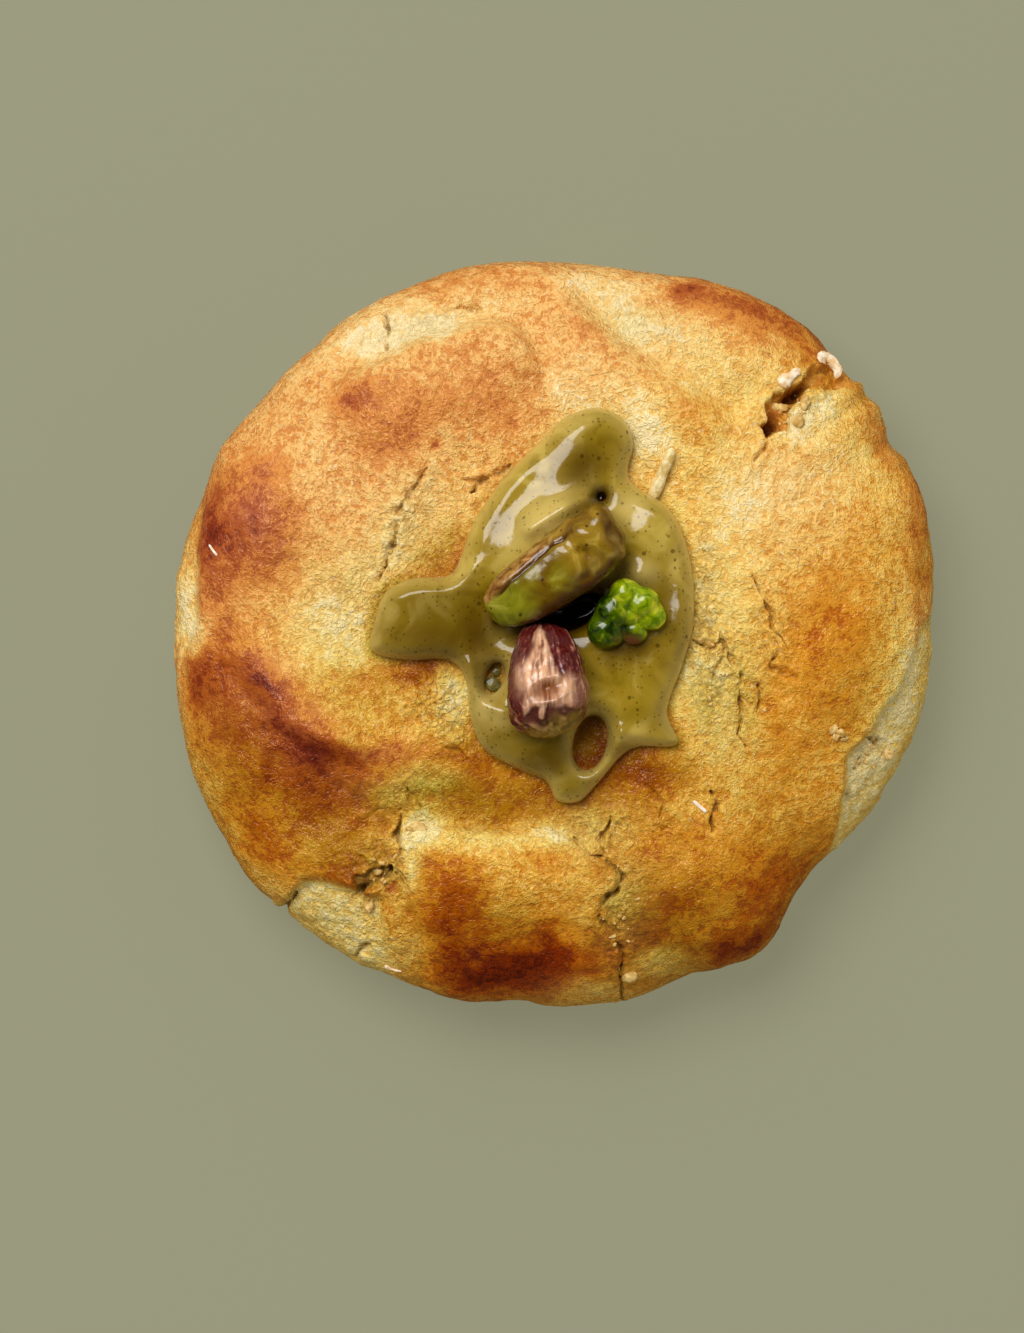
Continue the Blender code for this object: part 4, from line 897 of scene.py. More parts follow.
cream = {
    "outline": [
        (4.2, 23.8), (1, 22.7), (-1.6, 20.2), (-5.4, 16.4), (-8.6, 11.6), (-9.9, 8), (-11.2, 6.2), (-15, 5.9),
        (-17.8, 4.4), (-18.9, 1.4), (-19.2, -1.7), (-15.6, -2.7), (-11.2, -2.7), (-9.4, -4.6), (-8.9, -8.4),
        (-7.4, -12), (-3.6, -14.2), (-0.9, -15.4), (0.2, -17.4), (2.6, -17.5), (4.7, -15.4), (8, -12),
        (12.9, -11.5), (11.8, -8), (13.4, -3.2), (14.6, 1.5), (14.2, 8), (12, 13.2), (7.9, 16.2), (8.3, 20.2),
        (6.9, 22.8),
    ],
    "window": (3.7, -11.3, 1.7, 2.9, -12), "eye": (-6.3, -4.6, 0.9, 1.7, -20),
    "edge": 1.9, "lip": 0.12, "thickness": 2.6, "thinnest": 0.3, "sink": 0.5,
    "spacing": 0.3, "rings": [0.06, 0.16, 0.32, 0.56, 0.86], "waves": [(3.4, 0.12, 61), (1.5, 0.05, 62)],
    "swells": [                   # x, y, half length, half width, turn, height
        (1.5, 18.9, 4.8, 2.1, 52, 0.85), (-0.8, 10.4, 6.8, 4.8, 38, 1.9), (-2.6, 14.6, 3.4, 1.6, 48, -0.35),
        (1.2, 12.6, 3.6, 1.3, 36, 0.7), (-14.6, 2.4, 4.4, 3, 5, 0.35), (8.9, 6.3, 1.5, 1.5, 0, 1),
        (9.8, 10.4, 2.8, 3, 0, 0.8), (3.2, 2.4, 2.6, 1.5, 22, -3), (-0.6, 2.2, 5.6, 1.3, 28, -1.6),
        (4.6, 14.3, 1, 0.9, 40, -2), (10.9, -9.8, 3, 2.6, -30, -0.9), (1.5, -15, 3.2, 2.4, 0, -0.8),
        (-7.6, -6.5, 2.4, 5, 8, -0.8), (-5, -11.6, 3, 2, -30, -0.6), (6.5, -5.5, 4, 4, 0, 0.25),
        (-8.6, 2, 2.6, 2.4, 0, -0.5),
    ],
    "ridges": [                   # path, half width, height
        ([(-8.6, 9.6), (-6.4, 13.4), (-2.8, 17.4), (0.6, 20.4), (3.2, 22)], 0.9, 0.18),
        ([(-17.4, 4), (-13.4, 4.6), (-10.4, 4.9), (-8.2, 7.2)], 0.7, 0.32),
        ([(7.8, 15.4), (10.4, 13.6), (12.4, 10.4), (13.2, 6), (13.5, 1)], 0.7, 0.28),
        ([(-2.6, 11), (-0.6, 12.4), (1.4, 13.6), (3.2, 14.2)], 0.85, 1),
        ([(-9, -3), (-8.6, -5.6), (-7.2, -7.2), (-5.4, -8.2)], 0.6, 0.65),
        ([(1.6, -14), (3.6, -14.9), (5.8, -12.8), (6.8, -10.2)], 0.55, 0.5),
        ([(6.9, -10), (9.6, -10.6), (12.4, -11.2)], 0.6, 0.35),
    ],
    "light": [                    # painted highlights: x, y, half length, half width, turn, amount
        (-1.4, 12.2, 5, 2.2, 42, 0.9), (7.9, 13.2, 2.2, 1.8, 0, 0.9), (9.2, 6.6, 1.9, 1.5, 0, 0.8),
        (12.6, 7.6, 1.4, 3.4, 0, 0.4), (-5.9, -8.8, 1.8, 1.2, -30, 0.8), (-7.4, -7.6, 1.4, 2.6, 10, 0.9),
        (2.4, 22.4, 3, 1.2, 20, 0.5),
    ],
    "shade": [                    # painted shade between and under the kernels and on the cream's sides turned from the light: x, y, half length, half width, turn, amount
        (1.2, 2, 6.6, 2.5, 22, 1.5), (-5.8, 1.6, 2.4, 1.6, 30, 1), (4.9, 14.4, 1.3, 1.2, 40, 1.1),
        (-12.6, -0.4, 6.4, 3.4, 0, 0.74), (3, 17.6, 3, 3.2, -30, 0.78), (5.2, 19.6, 1.8, 2.6, 0, 0.3),
        (-13, 2, 5.4, 3.4, 0, 0.56), (-8.2, 0.2, 3.6, 4.6, 0, 0.85), (-11.6, -2.2, 3.4, 0.9, 0, 0.7),
        (-5.2, -11.4, 3.6, 2.4, -30, 0.55), (-2.6, -10.6, 4.4, 2, -8, 0.66), (10.8, -1, 2.6, 3, 0, 0.4),
        (7.4, -3, 3.6, 2.2, 0, 0.3), (-1.2, -13.2, 4, 2.6, 0, 0.78), (-7, -12, 2, 2, 0, 0.4),
        (12.2, 1.6, 2, 4.4, 0, 0.42), (3.8, -9.6, 3, 2, 0, 0.35), (1.6, -15.6, 3, 1.6, 0, 0.35),
        (10.8, -9.8, 3, 1.6, -20, 0.25), (-6.4, -3.4, 1.8, 1.6, 0, 0.7), (8.2, -1.6, 3.2, 1.8, 10, 0.8),
        (9, -12.4, 4, 1.6, -20, 0.4),
    ],
    "paste": [(0.3, 128, 102, 8), (0.5, 156, 128, 26), (0.7, 188, 162, 70)],
    "specks": [(2300, 0.27, 0.72, 0.45), (1250, 0.2, 0.66, 0.5), (640, 0.15, 0.76, 0.6)],
    # pale: thin edges and painted highlights; dark: painted shade; darkest: painted shadow in the gap between
    # the kernels
    "pale": (206, 180, 98), "dark": (66, 40, 0), "darkest": (12, 4, 0), "speck": (58, 36, 4),
}
creamGaps = ("window", "eye")


def creamEdge():
    return smoothCurve(cream["outline"], closed=True, steps=8)


# how far inside the cream, outside its two openings
def creamInside(plan):
    gaps = [-outlineDistance(plan, ovalRing(*cream[name])) for name in creamGaps]
    return np.minimum(outlineDistance(plan, creamEdge()), np.minimum(*gaps))


def makeCreamMaterial(piece):
    tree, place = startMaterial(piece, "pistachioCream")
    # the map holds painted shade, and the paler thin edge with painted highlights
    shade, edge, _ = layerMasks(tree, "creamMap")
    colour = paintOver(tree, colourRamp(tree, noise(tree, place, 230, 3, 0.8), cream["paste"]),
                       (edge, 1, cream["pale"]), (shade, 1, cream["dark"]),
                       (mapRange(tree, shade, 0.86, 1), 1, cream["darkest"]))
    for scale, size, share, strength in cream["specks"]:
        specks = addGroup(tree, speckGroup, Vector=place, Scale=scale, Size=size, Share=share)
        colour = paintOver(tree, colour, (specks.outputs["Mask"], strength, cream["speck"]))
    setShader(tree, {
        "Base Color": colour, "Roughness": 0.13, "Specular IOR Level": 0.42,
        "Coat Weight": mapRange(tree, shade, 0, 0.8, 0.22, 0), "Coat Roughness": 0.05,
    }, noise(tree, place, 480, 3, 0.6), 0.5, 0.14)


# the cream's surface seen from above: rows of points beside its edges and an even net between them
def creamNet():
    spacing, edge = cream["spacing"], creamEdge()
    points, edges = [], []
    for loop in (edge, *(ovalRing(*cream[name]) for name in creamGaps)):
        closed = np.vstack([loop, loop[:1]])
        length = lineLengths(closed)[-1]
        ring = placesOn(closed, np.linspace(0, length, round(length / spacing), endpoint=False))
        first, count = len(points), len(ring)
        points.extend(ring)
        edges += [(first + index, first + (index + 1) % count) for index in range(count)]
        across = unit(leftOf(np.roll(ring, -1, axis=0) - np.roll(ring, 1, axis=0)))
        for depth, side in itertools.product(cream["rings"], (1, -1)):
            row = ring + across * depth * side
            points.extend(row[creamInside(row) > 0.93 * depth])
    low, high = edge.min(axis=0), edge.max(axis=0)
    rows = np.arange(low[1], high[1], spacing * math.sqrt(3) / 2)
    filling = np.array([(x, y) for row, y in enumerate(rows)
                        for x in np.arange(low[0] + 0.5 * spacing * (row % 2), high[0], spacing)])
    points.extend(filling[creamInside(filling) > cream["rings"][-1] + 0.6 * spacing])
    points = [Vector(point) for point in points]
    plan, _, faces, _, _, _ = geometry.delaunay_2d_cdt(points, edges, [], 1, 1e-5)
    plan = np.array([point[:] for point in plan])
    kept = creamInside(plan[np.array(faces)].mean(axis=1)) > 0
    return plan, [list(face) for face, keep in zip(faces, kept) if keep]


def makeCream(crust):
    plan, faces = creamNet()
    flat = withHeight(plan)
    thickness = cream["thickness"] + spotSum(plan, cream["swells"])
    for path, halfWidth, height in cream["ridges"]:
        thickness += height * bump(pathDistance(plan, smoothCurve(path))[0], 0, halfWidth)
    thickness += waveSum(flat, cream["waves"])
    inward = (creamInside(plan) / cream["edge"]).clip(0, 1)
    roundEdge = np.sqrt(1 - (1 - inward) ** 2)
    floor = heightsOn(surfaceTree(crust), plan)
    top = floor + cream["lip"] + (thickness.clip(cream["thinnest"]) - cream["lip"]) * roundEdge
    solid = np.vstack([np.column_stack([plan, top]), np.column_stack([plan, floor - cream["sink"]])])

    count = len(plan)
    skin, walls = [], set()
    for face in faces:
        skin += [face, [index + count for index in reversed(face)]]
        walls.update(zip(face, face[1:] + face[:1]))
    skin += [(start, start + count, end + count, end) for start, end in walls if (end, start) not in walls]
    mesh = bpy.data.meshes.new("creamSpill")
    mesh.from_pydata((solid * mm).tolist(), [], skin)
    piece = bpy.data.objects.new("creamSpill", mesh)
    bpy.context.scene.collection.objects.link(piece)
    makeActive(piece)
    bpy.ops.object.mode_set(mode="EDIT")
    bpy.ops.mesh.select_all(action="SELECT")
    bpy.ops.mesh.delete_loose()
    bpy.ops.mesh.select_all(action="SELECT")
    bpy.ops.mesh.normals_make_consistent(inside=False)
    bpy.ops.object.mode_set(mode="OBJECT")
    settle = piece.modifiers.new("settle", "SMOOTH")
    settle.factor, settle.iterations = 0.5, 4
    bpy.ops.object.modifier_apply(modifier="settle")

    plan = readPoints(piece.data)[:, :2] / mm
    # paler where the cream thins at its edge; the second channel also holds painted highlights, the first
    # painted shade
    paleEdge = 0.8 * np.exp(-creamInside(plan).clip(0) / 0.9)
    addLayer(piece, "creamMap", spotPeak(plan, cream["shade"]), spotPeak(plan, cream["light"], paleEdge))
    makeCreamMaterial(piece)
    finishPiece(piece, "pistachio_cream")
    print("cream:", len(piece.data.polygons), "faces")
    return piece


# a blunt kernel: its half sizes, how square, flared, bowed, skewed and domed it is, and its turn
def bluntShape(directions, kernel):
    x, y, z = directions.T
    halfLength, halfWidth, halfHeight = kernel["half"]
    blunt = (np.abs(directions) ** kernel["power"]).sum(axis=1) ** (-1 / kernel["power"])
    width = blunt * (1 + kernel["flare"] * x)
    local = np.column_stack([x * halfLength * blunt, y * halfWidth * width, z * halfHeight * width])
    local[:, 1] += halfWidth * (kernel["bow"] * x * x + kernel["skew"] * x)
    local[:, 2] += kernel["belly"] * halfHeight * (1 - x * x)
    return local


def placeKernel(piece, local, kernel):
    yaw, pitch, roll = (math.radians(angle) for angle in kernel["turn"])
    turn = Matrix.Rotation(yaw, 3, "Z") @ Matrix.Rotation(pitch, 3, "Y") @ Matrix.Rotation(roll, 3, "X")
    setPoints(piece, local @ np.array(turn).T + kernel["centre"])


coatedKernel = {
    "centre": (0, 6.45, 21.5), "half": (8.1, 3.4, 3.4), "turn": (35, -5, 8),
    "power": 2.8, "flare": 0.07, "bow": 0.08, "skew": -0.02, "belly": 0.06,
    "waves": [(1.9, 0.16, 71), (0.8, 0.08, 72)],
    "flesh": [(0.3, 92, 60, 4), (0.45, 112, 86, 8), (0.58, 126, 110, 16), (0.72, 150, 140, 44)],
    "greenTip": [(0.3, 92, 92, 4), (0.52, 132, 130, 20), (0.72, 176, 168, 62)],
    "coat": [(0.32, 104, 74, 4), (0.55, 148, 116, 24), (0.72, 186, 158, 62)],
    "brownStrip": [(0.34, 98, 54, 12), (0.52, 142, 98, 40), (0.68, 188, 146, 84)],
    # dark: the split line, the dent and painted shade on the underside
    "dark": (62, 22, 0), "speck": (44, 26, 8),
}


def makeCoatedKernel():
    piece, directions = addBall("coatedKernel", 6)
    local = bluntShape(directions, coatedKernel)
    along, across, up = local.T
    top, raised = softStep(up, -0.6, 1.4), softStep(up, -1.6, 0.2)
    seam = across - (2.72 + 0.045 * along - 0.014 * along ** 2 + 0.16 * waves(local, 1.3, 70))
    groove = bump(seam, 0, 0.2) * raised * softStep(along, -7, -5.6) * (1 - softStep(along, 2.8, 4.6))
    innerLip = bump(seam, 0.7, 0.4) * raised * (1 - softStep(along, 3, 5))
    coat = softStep(along + 0.5 * waves(local, 1.6, 73), 0.6, 2.4) * softStep(up + 0.4 * across, -1.4, 0.8)
    slanted = along - 0.45 * (2.4 - across)
    drip = bump(slanted, 4.6, 0.75) * top * softStep(across, -3.4, -1.6)
    tip = bump(along, 7.2, 1.5) * bump(across, 2.6, 1.3)
    dent = bump(along, 2.4, 1.3) * bump(across, -1.9, 0.8) * top
    valley = bump(slanted, 3, 0.6) * top * softStep(across, -1, 0.6)
    swell = waveSum(local, coatedKernel["waves"]) * (1 - 0.4 * coat)
    push = (swell - 0.32 * groove + 0.16 * innerLip + 0.28 * coat + 0.5 * drip + 0.9 * tip - 0.55 * dent
            - 0.28 * valley)
    local += directions * push[:, None]          # along, across and up follow, because they look into local
    placeKernel(piece, local, coatedKernel)
    # painted shade on the kernel's underside and its far end; the third line is a dark rusty patch on top
    low = (1 - softStep(across + 0.5 * waves(local, 1.3, 75), -2.6, -0.9)) * softStep(along, -7.6, -5.2)
    low = np.maximum(low, 0.7 * softStep(along - 0.35 * across + 0.4 * waves(local, 1.1, 76), 6, 7.2))
    low = np.maximum(low, 0.6 * bump(along, 4.6, 1.6) * bump(across, -0.9, 0.9) * top)
    dark = np.maximum(groove, np.maximum(0.8 * dent, 0.9 * low))
    addLayer(piece, "kernelMap", coat, softStep(seam, -0.02, 0.25) * (1 - 0.75 * coat), dark)
    greenTip = 1 - softStep(along + 0.8 * waves(local, 1.8, 74), -5.8, -1.4)
    addLayer(piece, "greenTip", greenTip * softStep(up, -1, 1))

    tree, place = startMaterial(piece, "coatedKernelSkin")
    coatMask, edgeMask, darkMask = layerMasks(tree, "kernelMap")
    clouds = {"flesh": 360, "greenTip": 360, "coat": 380, "brownStrip": 700}
    looks = {name: colourRamp(tree, noise(tree, place, scale, 3, 1 if name == "brownStrip" else 0.8),
                              coatedKernel[name]) for name, scale in clouds.items()}
    specks = addGroup(tree, speckGroup, Vector=place, Scale=900, Size=0.17, Share=0.6).outputs["Mask"]
    colour = paintOver(
        tree, looks["flesh"], (layerMask(tree, "greenTip"), 1, looks["greenTip"]),
        (coatMask, 1, looks["coat"]), (edgeMask, 1, looks["brownStrip"]),
        (darkMask, 1, coatedKernel["dark"]), (specks, 0.7, coatedKernel["speck"]))
    setShader(tree, {"Base Color": colour, "Roughness": 0.2, "Coat Weight": 0.2, "Coat Roughness": 0.06},
              noise(tree, place, 900, 3, 0.6), 0.4, 0.14)
    finishPiece(piece, "kernel_coated")


skinnedKernel = {
    "centre": (-0.8, -4.6, 22), "half": (5.9, 4, 3.7), "turn": (-87, -16, 0),
    "power": 2.6, "flare": 0.24, "bow": -0.05, "skew": 0, "belly": 0.06,
    "waves": [(1.5, 0.14, 83), (0.7, 0.07, 85)],
    "maroon": [(0.34, 44, 4, 4), (0.5, 84, 20, 18), (0.66, 164, 92, 76)],
    "pale": [(0.32, 190, 116, 80), (0.5, 228, 174, 132), (0.66, 246, 216, 182)],
    "dark": (78, 20, 14), "dimple": (132, 72, 18), "film": (140, 114, 36),
}


def makeSkinnedKernel():
    piece, directions = addBall("skinnedKernel", 6)
    local = bluntShape(directions, skinnedKernel)
    along, across, up = local.T
    nothing = np.zeros(len(along))
    top = softStep(up, -0.5, 1.6)
    lengthwise = np.column_stack([along * 0.2, np.arctan2(up, across) * 2.4, nothing])
    streak = waves(lengthwise, 0.5, 81) + 0.5 * waves(lengthwise * 2.1, 0.5, 82)
    thinStreak = waves(lengthwise * [2.2, 5, 1], 0.5, 87)
    swirl = np.hypot((along - 2.3 + 0.2 * across) / 0.85, (across - 0.1) / 1.35)
    dimple = bump(swirl, 0, 1) * top
    ring = bump(swirl, 1.5, 0.35) * top * (0.35 + 0.65 * softStep(waves(local, 1.6, 89), -0.5, 0.6))
    rib = bump(across + 0.2 * along + 0.35 * waves(local, 1.2, 77), -1, 0.42) * bump(along, -1.4, 1.7) * top
    end = softStep(along, 3.5, 4.5)
    patches = waves(local * [1, 1.25, 1], 1, 84) + 0.3 * waves(local, 0.5, 86)
    facets = end * softStep(patches, -0.2, 0.1) * top
    crease = bump(across - 0.25 * along, 1.35, 0.22) * top * (1 - softStep(along, 0.4, 1.6))
    crumple = waveSum(local, skinnedKernel["waves"])
    push = (0.13 * streak + 0.04 * thinStreak - 0.8 * dimple + 0.28 * ring - 0.42 * facets - 0.22 * crease
            + 0.34 * rib + 1.5 * crumple)
    local += directions * push[:, None]          # along, across and up follow, because they look into local
    placeKernel(piece, local, skinnedKernel)

    line = np.column_stack([along, nothing, nothing])
    band = 0.3 + 2 * softStep(along, -5.6, 0.6) + 0.5 * waves(line, 1.5, 88)
    leftEdge = 1 - softStep(across + 0.5 * streak, -band - 0.6, 0.5 - band)
    rightPatch = softStep(across - 0.12 * along + 0.45 * streak, 0.22 * band, 0.22 * band + 0.7)
    rightPatch *= 1 - softStep(along + 0.6 * streak, 0.2, 1.8)
    skirt = 0.8 * softStep(across + 0.4 * streak, 2.4, 3.2)
    maroon = np.maximum.reduce([leftEdge, rightPatch, skirt, 1 - softStep(up, 0, 1.2)])
    pale = (1 - maroon) * softStep(0.75 + 0.35 * streak + 0.45 * thinStreak, 0, 1)
    fine = softStep(0.6 * streak + 0.8 * thinStreak, 0.35, 1.1)
    pale = np.maximum(pale, 0.5 * fine * softStep(up, 0.2, 1.6))
    pale = np.maximum(pale, 0.6 * bump(across + 0.3 * streak, -2.7, 0.7) * bump(along, 1, 1.8))
    pale *= 1 - 0.6 * softStep(waves(local * [0.7, 1.6, 1], 1, 78), 0.25, 0.8) * (1 - 0.7 * rib)
    # the raised rim round the dimple is painted pale as a highlight
    pale = np.maximum(pale, 0.6 * ring) * (1 - 0.4 * softStep(along + 0.5 * streak, 2.6, 4.4))
    pale *= 1 - 0.8 * np.maximum(crease, bump(across, 1.7, 0.7) * bump(along, -1.6, 1.6) * top)
    lowPatches = end * softStep(patches, -0.3, 0) * softStep(up, -1.5, 0.5)
    addLayer(piece, "kernelMap", pale, lowPatches, dimple)
    addLayer(piece, "film", softStep(along + 0.5 * waves(local, 1.1, 79) + 0.25 * across, 4.7, 5.7))
    addLayer(piece, "streak", 0.5 + 0.07 * streak + 0.1 * thinStreak)

    tree, place = startMaterial(piece, "skinnedKernelSkin")
    paleMask, darkMask, dimpleMask = layerMasks(tree, "kernelMap")
    streaks = times(tree, layerMask(tree, "streak"), 0.6)
    streaks = plus(tree, times(tree, noise(tree, place, 900, 3, 1), 0.4), streaks)
    colour = paintOver(
        tree, colourRamp(tree, streaks, skinnedKernel["maroon"]),
        (paleMask, 1, colourRamp(tree, streaks, skinnedKernel["pale"])),
        (darkMask, 0.9, skinnedKernel["dark"]), (dimpleMask, 1, skinnedKernel["dimple"]),
        (layerMask(tree, "film"), 0.85, skinnedKernel["film"]))
    setShader(tree, {"Base Color": colour, "Roughness": 0.24, "Coat Weight": 0.2, "Coat Roughness": 0.07},
              streaks, 0.6, 0.16)
    finishPiece(piece, "kernel_skinned")


greenKernel = {
    "lobes": [                    # x, y, height, radius
        (5.3, 0.4, 20.4, 2.1), (6.1, 2.4, 20.9, 2.1), (7.3, 4.3, 21.3, 1.8),
        (9.2, 3.3, 21.3, 1.9), (10.2, 1.9, 20.9, 1.6), (8.3, 0.3, 20.3, 1.6),
    ],
    "blend": 0.22, "waves": [(1.2, 0.1, 91), (0.5, 0.04, 92)],
    "deep": [(0.35, 22, 40, 0), (0.55, 60, 84, 0), (0.72, 116, 130, 10)],
    "bright": [(0.32, 84, 112, 0), (0.52, 136, 156, 2), (0.7, 196, 196, 40)],
    "low": (26, 40, 0), "skin": (112, 50, 34),
}


def makeGreenKernel():
    piece, directions = addBall("greenKernel", 6)
    lobes = np.array(greenKernel["lobes"])
    middle = lobes[:, :3].mean(axis=0)
    reaches = []
    for *centre, radius in lobes:
        centre = centre - middle
        along = directions @ centre
        room = along ** 2 - centre @ centre + radius ** 2
        reaches.append(np.where(room > 0, along + np.sqrt(np.maximum(room, 0)), 0))
    sharp = 1 / greenKernel["blend"]
    reach = np.log(np.exp(np.array(reaches) * sharp).sum(axis=0)) / sharp
    local = directions * (reach.clip(lobes[:, 3].min()) - 0.2)[:, None]
    local += directions * waveSum(local, greenKernel["waves"])[:, None]
    points = local + middle
    setPoints(piece, points)
    x, y, z = points.T
    bright = softStep(x + 0.55 * y + 0.5 * waves(local, 1.2, 93), 7.6, 9.2)
    low = 1 - softStep(z + 0.3 * waves(local, 0.8, 94), 19.8, 21.2)
    skin = bump(x, 7.8, 1.5) * bump(y, -0.9, 0.8) * softStep(waves(local, 0.7, 95), -0.4, 0.2)
    addLayer(piece, "kernelMap", bright, low, skin)
    tree, place = startMaterial(piece, "greenKernelFlesh")
    brightMask, lowMask, skinMask = layerMasks(tree, "kernelMap")
    cloud = noise(tree, place, 900, 3, 0.8)
    colour = paintOver(
        tree, colourRamp(tree, cloud, greenKernel["deep"]),
        (brightMask, 1, colourRamp(tree, cloud, greenKernel["bright"])),
        (lowMask, 0.7, greenKernel["low"]), (skinMask, 1, greenKernel["skin"]))
    setShader(tree, {"Base Color": colour, "Roughness": 0.18, "Coat Weight": 0.25, "Coat Roughness": 0.05},
              cloud, 0.5, 0.14)
    finishPiece(piece, "kernel_green")


# loose bits on the crust: each path is a line of plan points, and widths and heights are half ones
looseBits = {
    "bigCrumbs": [                # x, y, half length, half width, turn
        (29.2, -9.9, 0.6, 0.42, 40), (29.9, -10.3, 0.62, 0.42, -30), (30.4, -10.9, 0.42, 0.3, 20),
        (29.5, -10.7, 0.42, 0.34, 80), (28.7, 26.7, 0.75, 0.7, 0), (24, 23.75, 0.6, 0.5, 40),
        (23.2, 24, 0.7, 0.4, -10), (26.4, 24.4, 0.8, 0.5, 60), (7.9, -35.9, 0.8, 0.6, 10),
        (-14.6, -20.3, 1.1, 0.6, 10), (-18.6, -24.9, 0.6, 0.5, 0), (35.2, -12.6, 0.55, 0.45, 30),
        (25.6, 22.4, 0.6, 0.5, 70), (-19.4, -28.6, 0.7, 0.5, 50),
    ],
    "crumbFields": [              # x, y, half length, half width, turn, how many
        (26, 24.2, 3.4, 1.8, 38, 16), (-18, -24.6, 3, 2.4, 20, 14), (33.6, -12, 1.2, 5, -28, 12),
        (17.6, -4.4, 3.6, 6, 10, 18), (6.6, -29.5, 2.6, 7, 0, 14), (-16.2, 11.5, 1.8, 5.2, -20, 8),
        (-11.4, -7.6, 2, 4, 20, 8),
    ],
    "crumbSize": (0.12, 0.3), "crumbWaves": [(0.9, 0.45, 111), (0.4, 0.2, 113)], "reach": 38.6,
    "slivers": [
        ([(14.5, -17.4), (15.2, -18), (15.9, -18.6)], 0.2, 0.16),
        ([(-36.3, 9.5), (-35.9, 8.9), (-35.4, 8.3)], 0.13, 0.12),
        ([(4.6, 18.5), (4.95, 18.2), (5.2, 17.9)], 0.24, 0.2),
    ],
    "flakes": [
        ([(27.9, 28.8), (28.6, 29.2), (29.3, 28.8), (29.9, 27.9), (29.7, 27)], 0.72, 0.3),
        ([(23.6, 26.2), (24.7, 27), (25.8, 27.9)], 0.68, 0.28),
        ([(-17.9, -34.9), (-17.1, -35.3), (-16.1, -35.5)], 0.22, 0.15),
    ],
    "thread": ([(10.2, 14.2), (10.8, 15.7), (11.3, 17), (11.9, 18.4), (12.3, 19.5)], 0.68, 0.55),
    "beads": [(-6.5, -5.2, 0.8, 0.35), (5.6, 4.4, 0.5, 0.5), (-6.1, -3.9, 0.5, 0.25)],
    "looks": {                    # material, dark and light dough, roughness
        "looseCrumbs": ("crumbDough", (196, 150, 66), (238, 204, 128), 0.5),
        "thinFlakes": ("paleFlake", (236, 196, 140), (255, 238, 208), 0.4),
        "paleSlivers": ("sliverFlesh", (240, 214, 180), (255, 246, 232), 0.35),
        "creamThread": ("threadCream", (214, 180, 100), (244, 226, 170), 0.15),
        "creamBeads": ("beadCream", (84, 76, 28), (124, 112, 58), 0.12),
    },
}


# bends a ball along a line on the crust: its x runs along the line, y across it and z up
def ballAlong(path, halfWidth, halfHeight, surface, sink=0, taper=0, ragged=0.1):
    piece, directions = addBall("bit", 4)
    x, y, z = directions.T
    line = smoothCurve(path)
    length = lineLengths(line)[-1]
    share = 0.5 + 0.5 * np.sign(x) * np.abs(x) ** 0.8
    at = share * length
    plan = placesOn(line, at)
    along = unit(placesOn(line, (at + 0.1).clip(0, length)) - placesOn(line, (at - 0.1).clip(0)))
    full = (1 - np.abs(x) ** 6).clip(0) ** 0.5 * (1 - taper * share) / np.hypot(y, z).clip(1e-6)
    rough = 1 + ragged * (waves(withHeight(plan, 2 * np.sign(y)), 0.7, 101)
                          + 0.8 * waves(directions * (6, 1, 1) + plan[0, 0], 0.5, 102))
    spots = plan + leftOf(along) * (y * full * halfWidth * rough)[:, None]
    level = heightsOn(surface, plan)
    level = np.maximum(level, level.max() - 1.2) + halfHeight * (1 - sink)
    setPoints(piece, np.column_stack([spots, level + z * full * halfHeight * rough]))
    return piece


def finishBits(bits, name):
    makeActive(bits[0])
    for bit in bits:
        bit.select_set(True)
    if len(bits) > 1:
        bpy.ops.object.join()
    piece = bpy.context.object
    piece.name = name
    materialName, low, high, roughness = looseBits["looks"][name]
    tree, place = startMaterial(piece, materialName)
    cloud = noise(tree, place, 1400, 3, 0.6)
    setShader(tree, {
        "Base Color": colourRamp(tree, cloud, [(0.34, *low), (0.66, *high)]), "Roughness": roughness,
        "Specular IOR Level": 0.4,
    }, cloud, 0.8, 0.12)
    finishPiece(piece, None)
    print(name + ":", len(piece.data.polygons), "faces")


def makeCrumbs(surface):
    random = np.random.default_rng(7)
    crumbs = []
    fields = [(*crumb, 3) for crumb in looseBits["bigCrumbs"]]
    for x, y, halfLength, halfWidth, turn, count in looseBits["crumbFields"]:
        plan = turned(random.normal(0, 0.5, (count, 2)) * (halfLength, halfWidth), turn) + (x, y)
        plan = plan[outlineDistance(plan, creamEdge()) < -0.5]
        sizes = random.uniform(*looseBits["crumbSize"], len(plan))
        fields += [(*place, size, size * random.uniform(0.6, 0.9), random.uniform(0, 180), 2)
                   for place, size in zip(plan, sizes)]
    for number, (x, y, long, wide, turn, detail) in enumerate(fields):
        if math.hypot(x, y) <= looseBits["reach"]:
            piece, directions = addBall("crumb", detail)
            ragged = waveSum(directions + number, looseBits["crumbWaves"])
            shape = directions * (1 + ragged)[:, None] * (long, wide, 0.75 * wide)
            level = heightsOn(surface, [(x, y)])[0] + 0.35 * wide
            setPoints(piece, np.column_stack([turned(shape[:, :2], turn) + (x, y), level + shape[:, 2]]))
            crumbs.append(piece)
    finishBits(crumbs, "looseCrumbs")


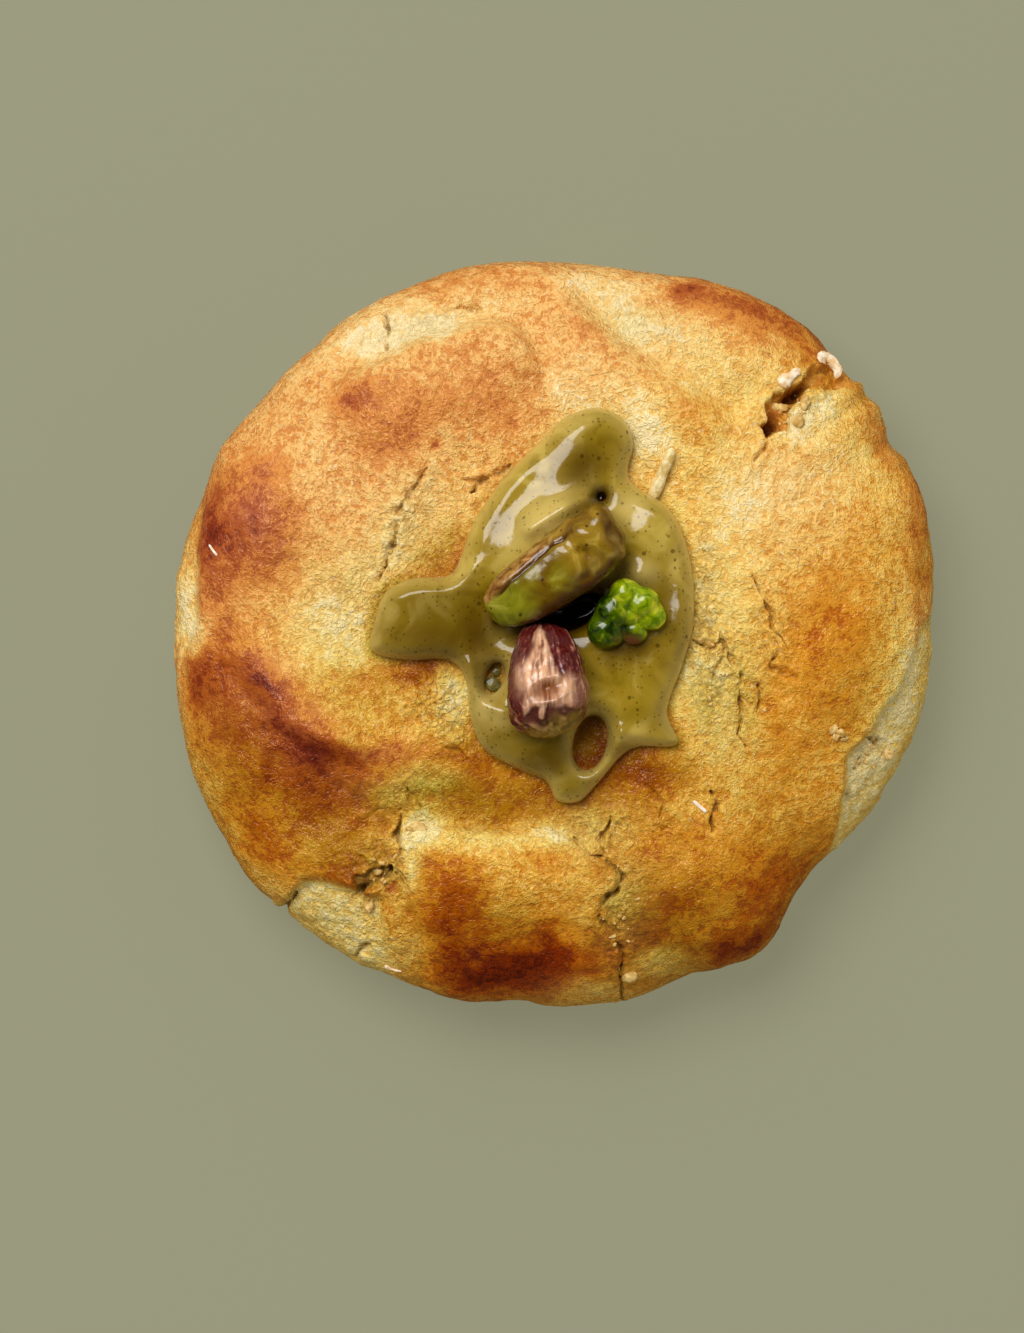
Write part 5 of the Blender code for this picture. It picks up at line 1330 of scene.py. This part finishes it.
def makeLooseBits(crust, creamSpill):
    surface = surfaceTree(crust)
    makeCrumbs(surface)
    finishBits([ballAlong(*flake, surface, 0.3, 0.55, 0.4) for flake in looseBits["flakes"]], "thinFlakes")
    finishBits([ballAlong(*sliver, surface) for sliver in looseBits["slivers"]], "paleSlivers")
    finishBits([ballAlong(*looseBits["thread"], surface, -0.2, 0.25)], "creamThread")
    surfaces = [surfaceTree(piece) for piece in (crust, creamSpill)]
    beads = []
    for x, y, radius, halfHeight in looseBits["beads"]:
        piece, directions = addBall("bead", 3)
        swell = 1 + 0.15 * waves(directions + x, 0.9, 112)
        shape = directions * swell[:, None] * (radius, radius, halfHeight)
        level = max(heightsOn(under, [(x, y)])[0] for under in surfaces)
        setPoints(piece, shape + (x, y, level + 0.3 * halfHeight))
        beads.append(piece)
    finishBits(beads, "creamBeads")


studio = {
    "middle": (-4.45, -3.34),     # what the camera looks at, from the photo's middle
    "viewHeight": 141.3,          # height of the view at the widest level
    "cameraDistance": 900,
    "floorColour": (90, 90, 72), "floorGlow": 2,
    "windowPlace": (-430, 640, 1200), "windowSize": (1100, 820), "windowPower": 19.7,
    "windowColour": (1, 0.98, 0.97),
    "zenith": 0.06, "horizon": 0.78,
    "southShare": 0.7, "eastShare": 1.45,            # how bright the room is there, beside the other sides
    "coolSide": (1, 0.98, 0.98, 1), "warmSide": (1, 0.94, 0.84, 1),
    "mirrored": 0.14,             # how much of the room the gloss shows
}


def addWindow():
    light = bpy.data.lights.new("window", "AREA")
    light.shape = "RECTANGLE"
    light.size, light.size_y = (side * mm for side in studio["windowSize"])
    light.energy, light.color = studio["windowPower"], studio["windowColour"]
    lamp = bpy.data.objects.new("window", light)
    bpy.context.scene.collection.objects.link(lamp)
    lamp.location = Vector(studio["windowPlace"]) * mm
    lamp.rotation_euler = (-lamp.location).to_track_quat("-Z", "Y").to_euler()


def glossyRay(tree):
    return addNode(tree, "LightPath").outputs["Is Glossy Ray"]


def makeFloor():
    deselectAll()
    bpy.ops.mesh.primitive_plane_add(size=4, location=(0, 0, 0))
    floor = bpy.context.object
    floor.name = "floor"
    tree, _ = startMaterial(floor, "paleFloor")
    hidden = times(tree, glossyRay(tree), 1 - studio["mirrored"])
    tone = mixColour(tree, hidden, studio["floorColour"], (0, 0, 0))
    setInputs(tree, tree.nodes["Principled BSDF"], {
        "Base Color": tone, "Emission Color": tone, "Emission Strength": studio["floorGlow"],
        "Roughness": 0.85})


# a room that is brighter at the horizon, at its north and at its east, and warmer at its south
def makeRoom():
    world = bpy.data.worlds.new("softRoom")
    bpy.context.scene.world = world
    world.use_nodes = True
    tree = world.node_tree
    direction = addNode(tree, "SeparateXYZ", Vector=addNode(tree, "TexCoord").outputs["Generated"]).outputs
    glow = mapRange(tree, direction["Z"], 0.25, 0.95, studio["horizon"], studio["zenith"])
    for share in (mapRange(tree, direction["Y"], -0.7, 0.5, studio["southShare"], 1),
                  mapRange(tree, direction["X"], -0.1, 0.8, 1, studio["eastShare"]),
                  mapRange(tree, glossyRay(tree), 0, 1, 1, studio["mirrored"])):
        glow = times(tree, glow, share)
    warmth = mapRange(tree, direction["Y"], -0.5, 0.5)
    tint = mixColour(tree, warmth, studio["warmSide"], studio["coolSide"])
    setInputs(tree, tree.nodes["Background"], {"Color": tint, "Strength": glow})


def addCamera():
    camera = bpy.data.cameras.new("camera")
    camera.sensor_width = 36
    camera.lens = camera.sensor_width * studio["cameraDistance"] / studio["viewHeight"]
    camera.clip_start = 0.01
    viewer = bpy.data.objects.new("camera", camera)
    bpy.context.scene.collection.objects.link(viewer)
    viewer.location = Vector((*studio["middle"], studio["cameraDistance"] + cookie["widestHeight"])) * mm
    bpy.context.scene.camera = viewer
    bpy.context.scene.view_settings.view_transform = "Standard"


crust = makeCrust()
creamSpill = makeCream(crust)
makeCoatedKernel()
makeSkinnedKernel()
makeGreenKernel()
print("kernels done")
makeLooseBits(crust, creamSpill)
addWindow()
makeFloor()
makeRoom()
addCamera()
print("studio done")
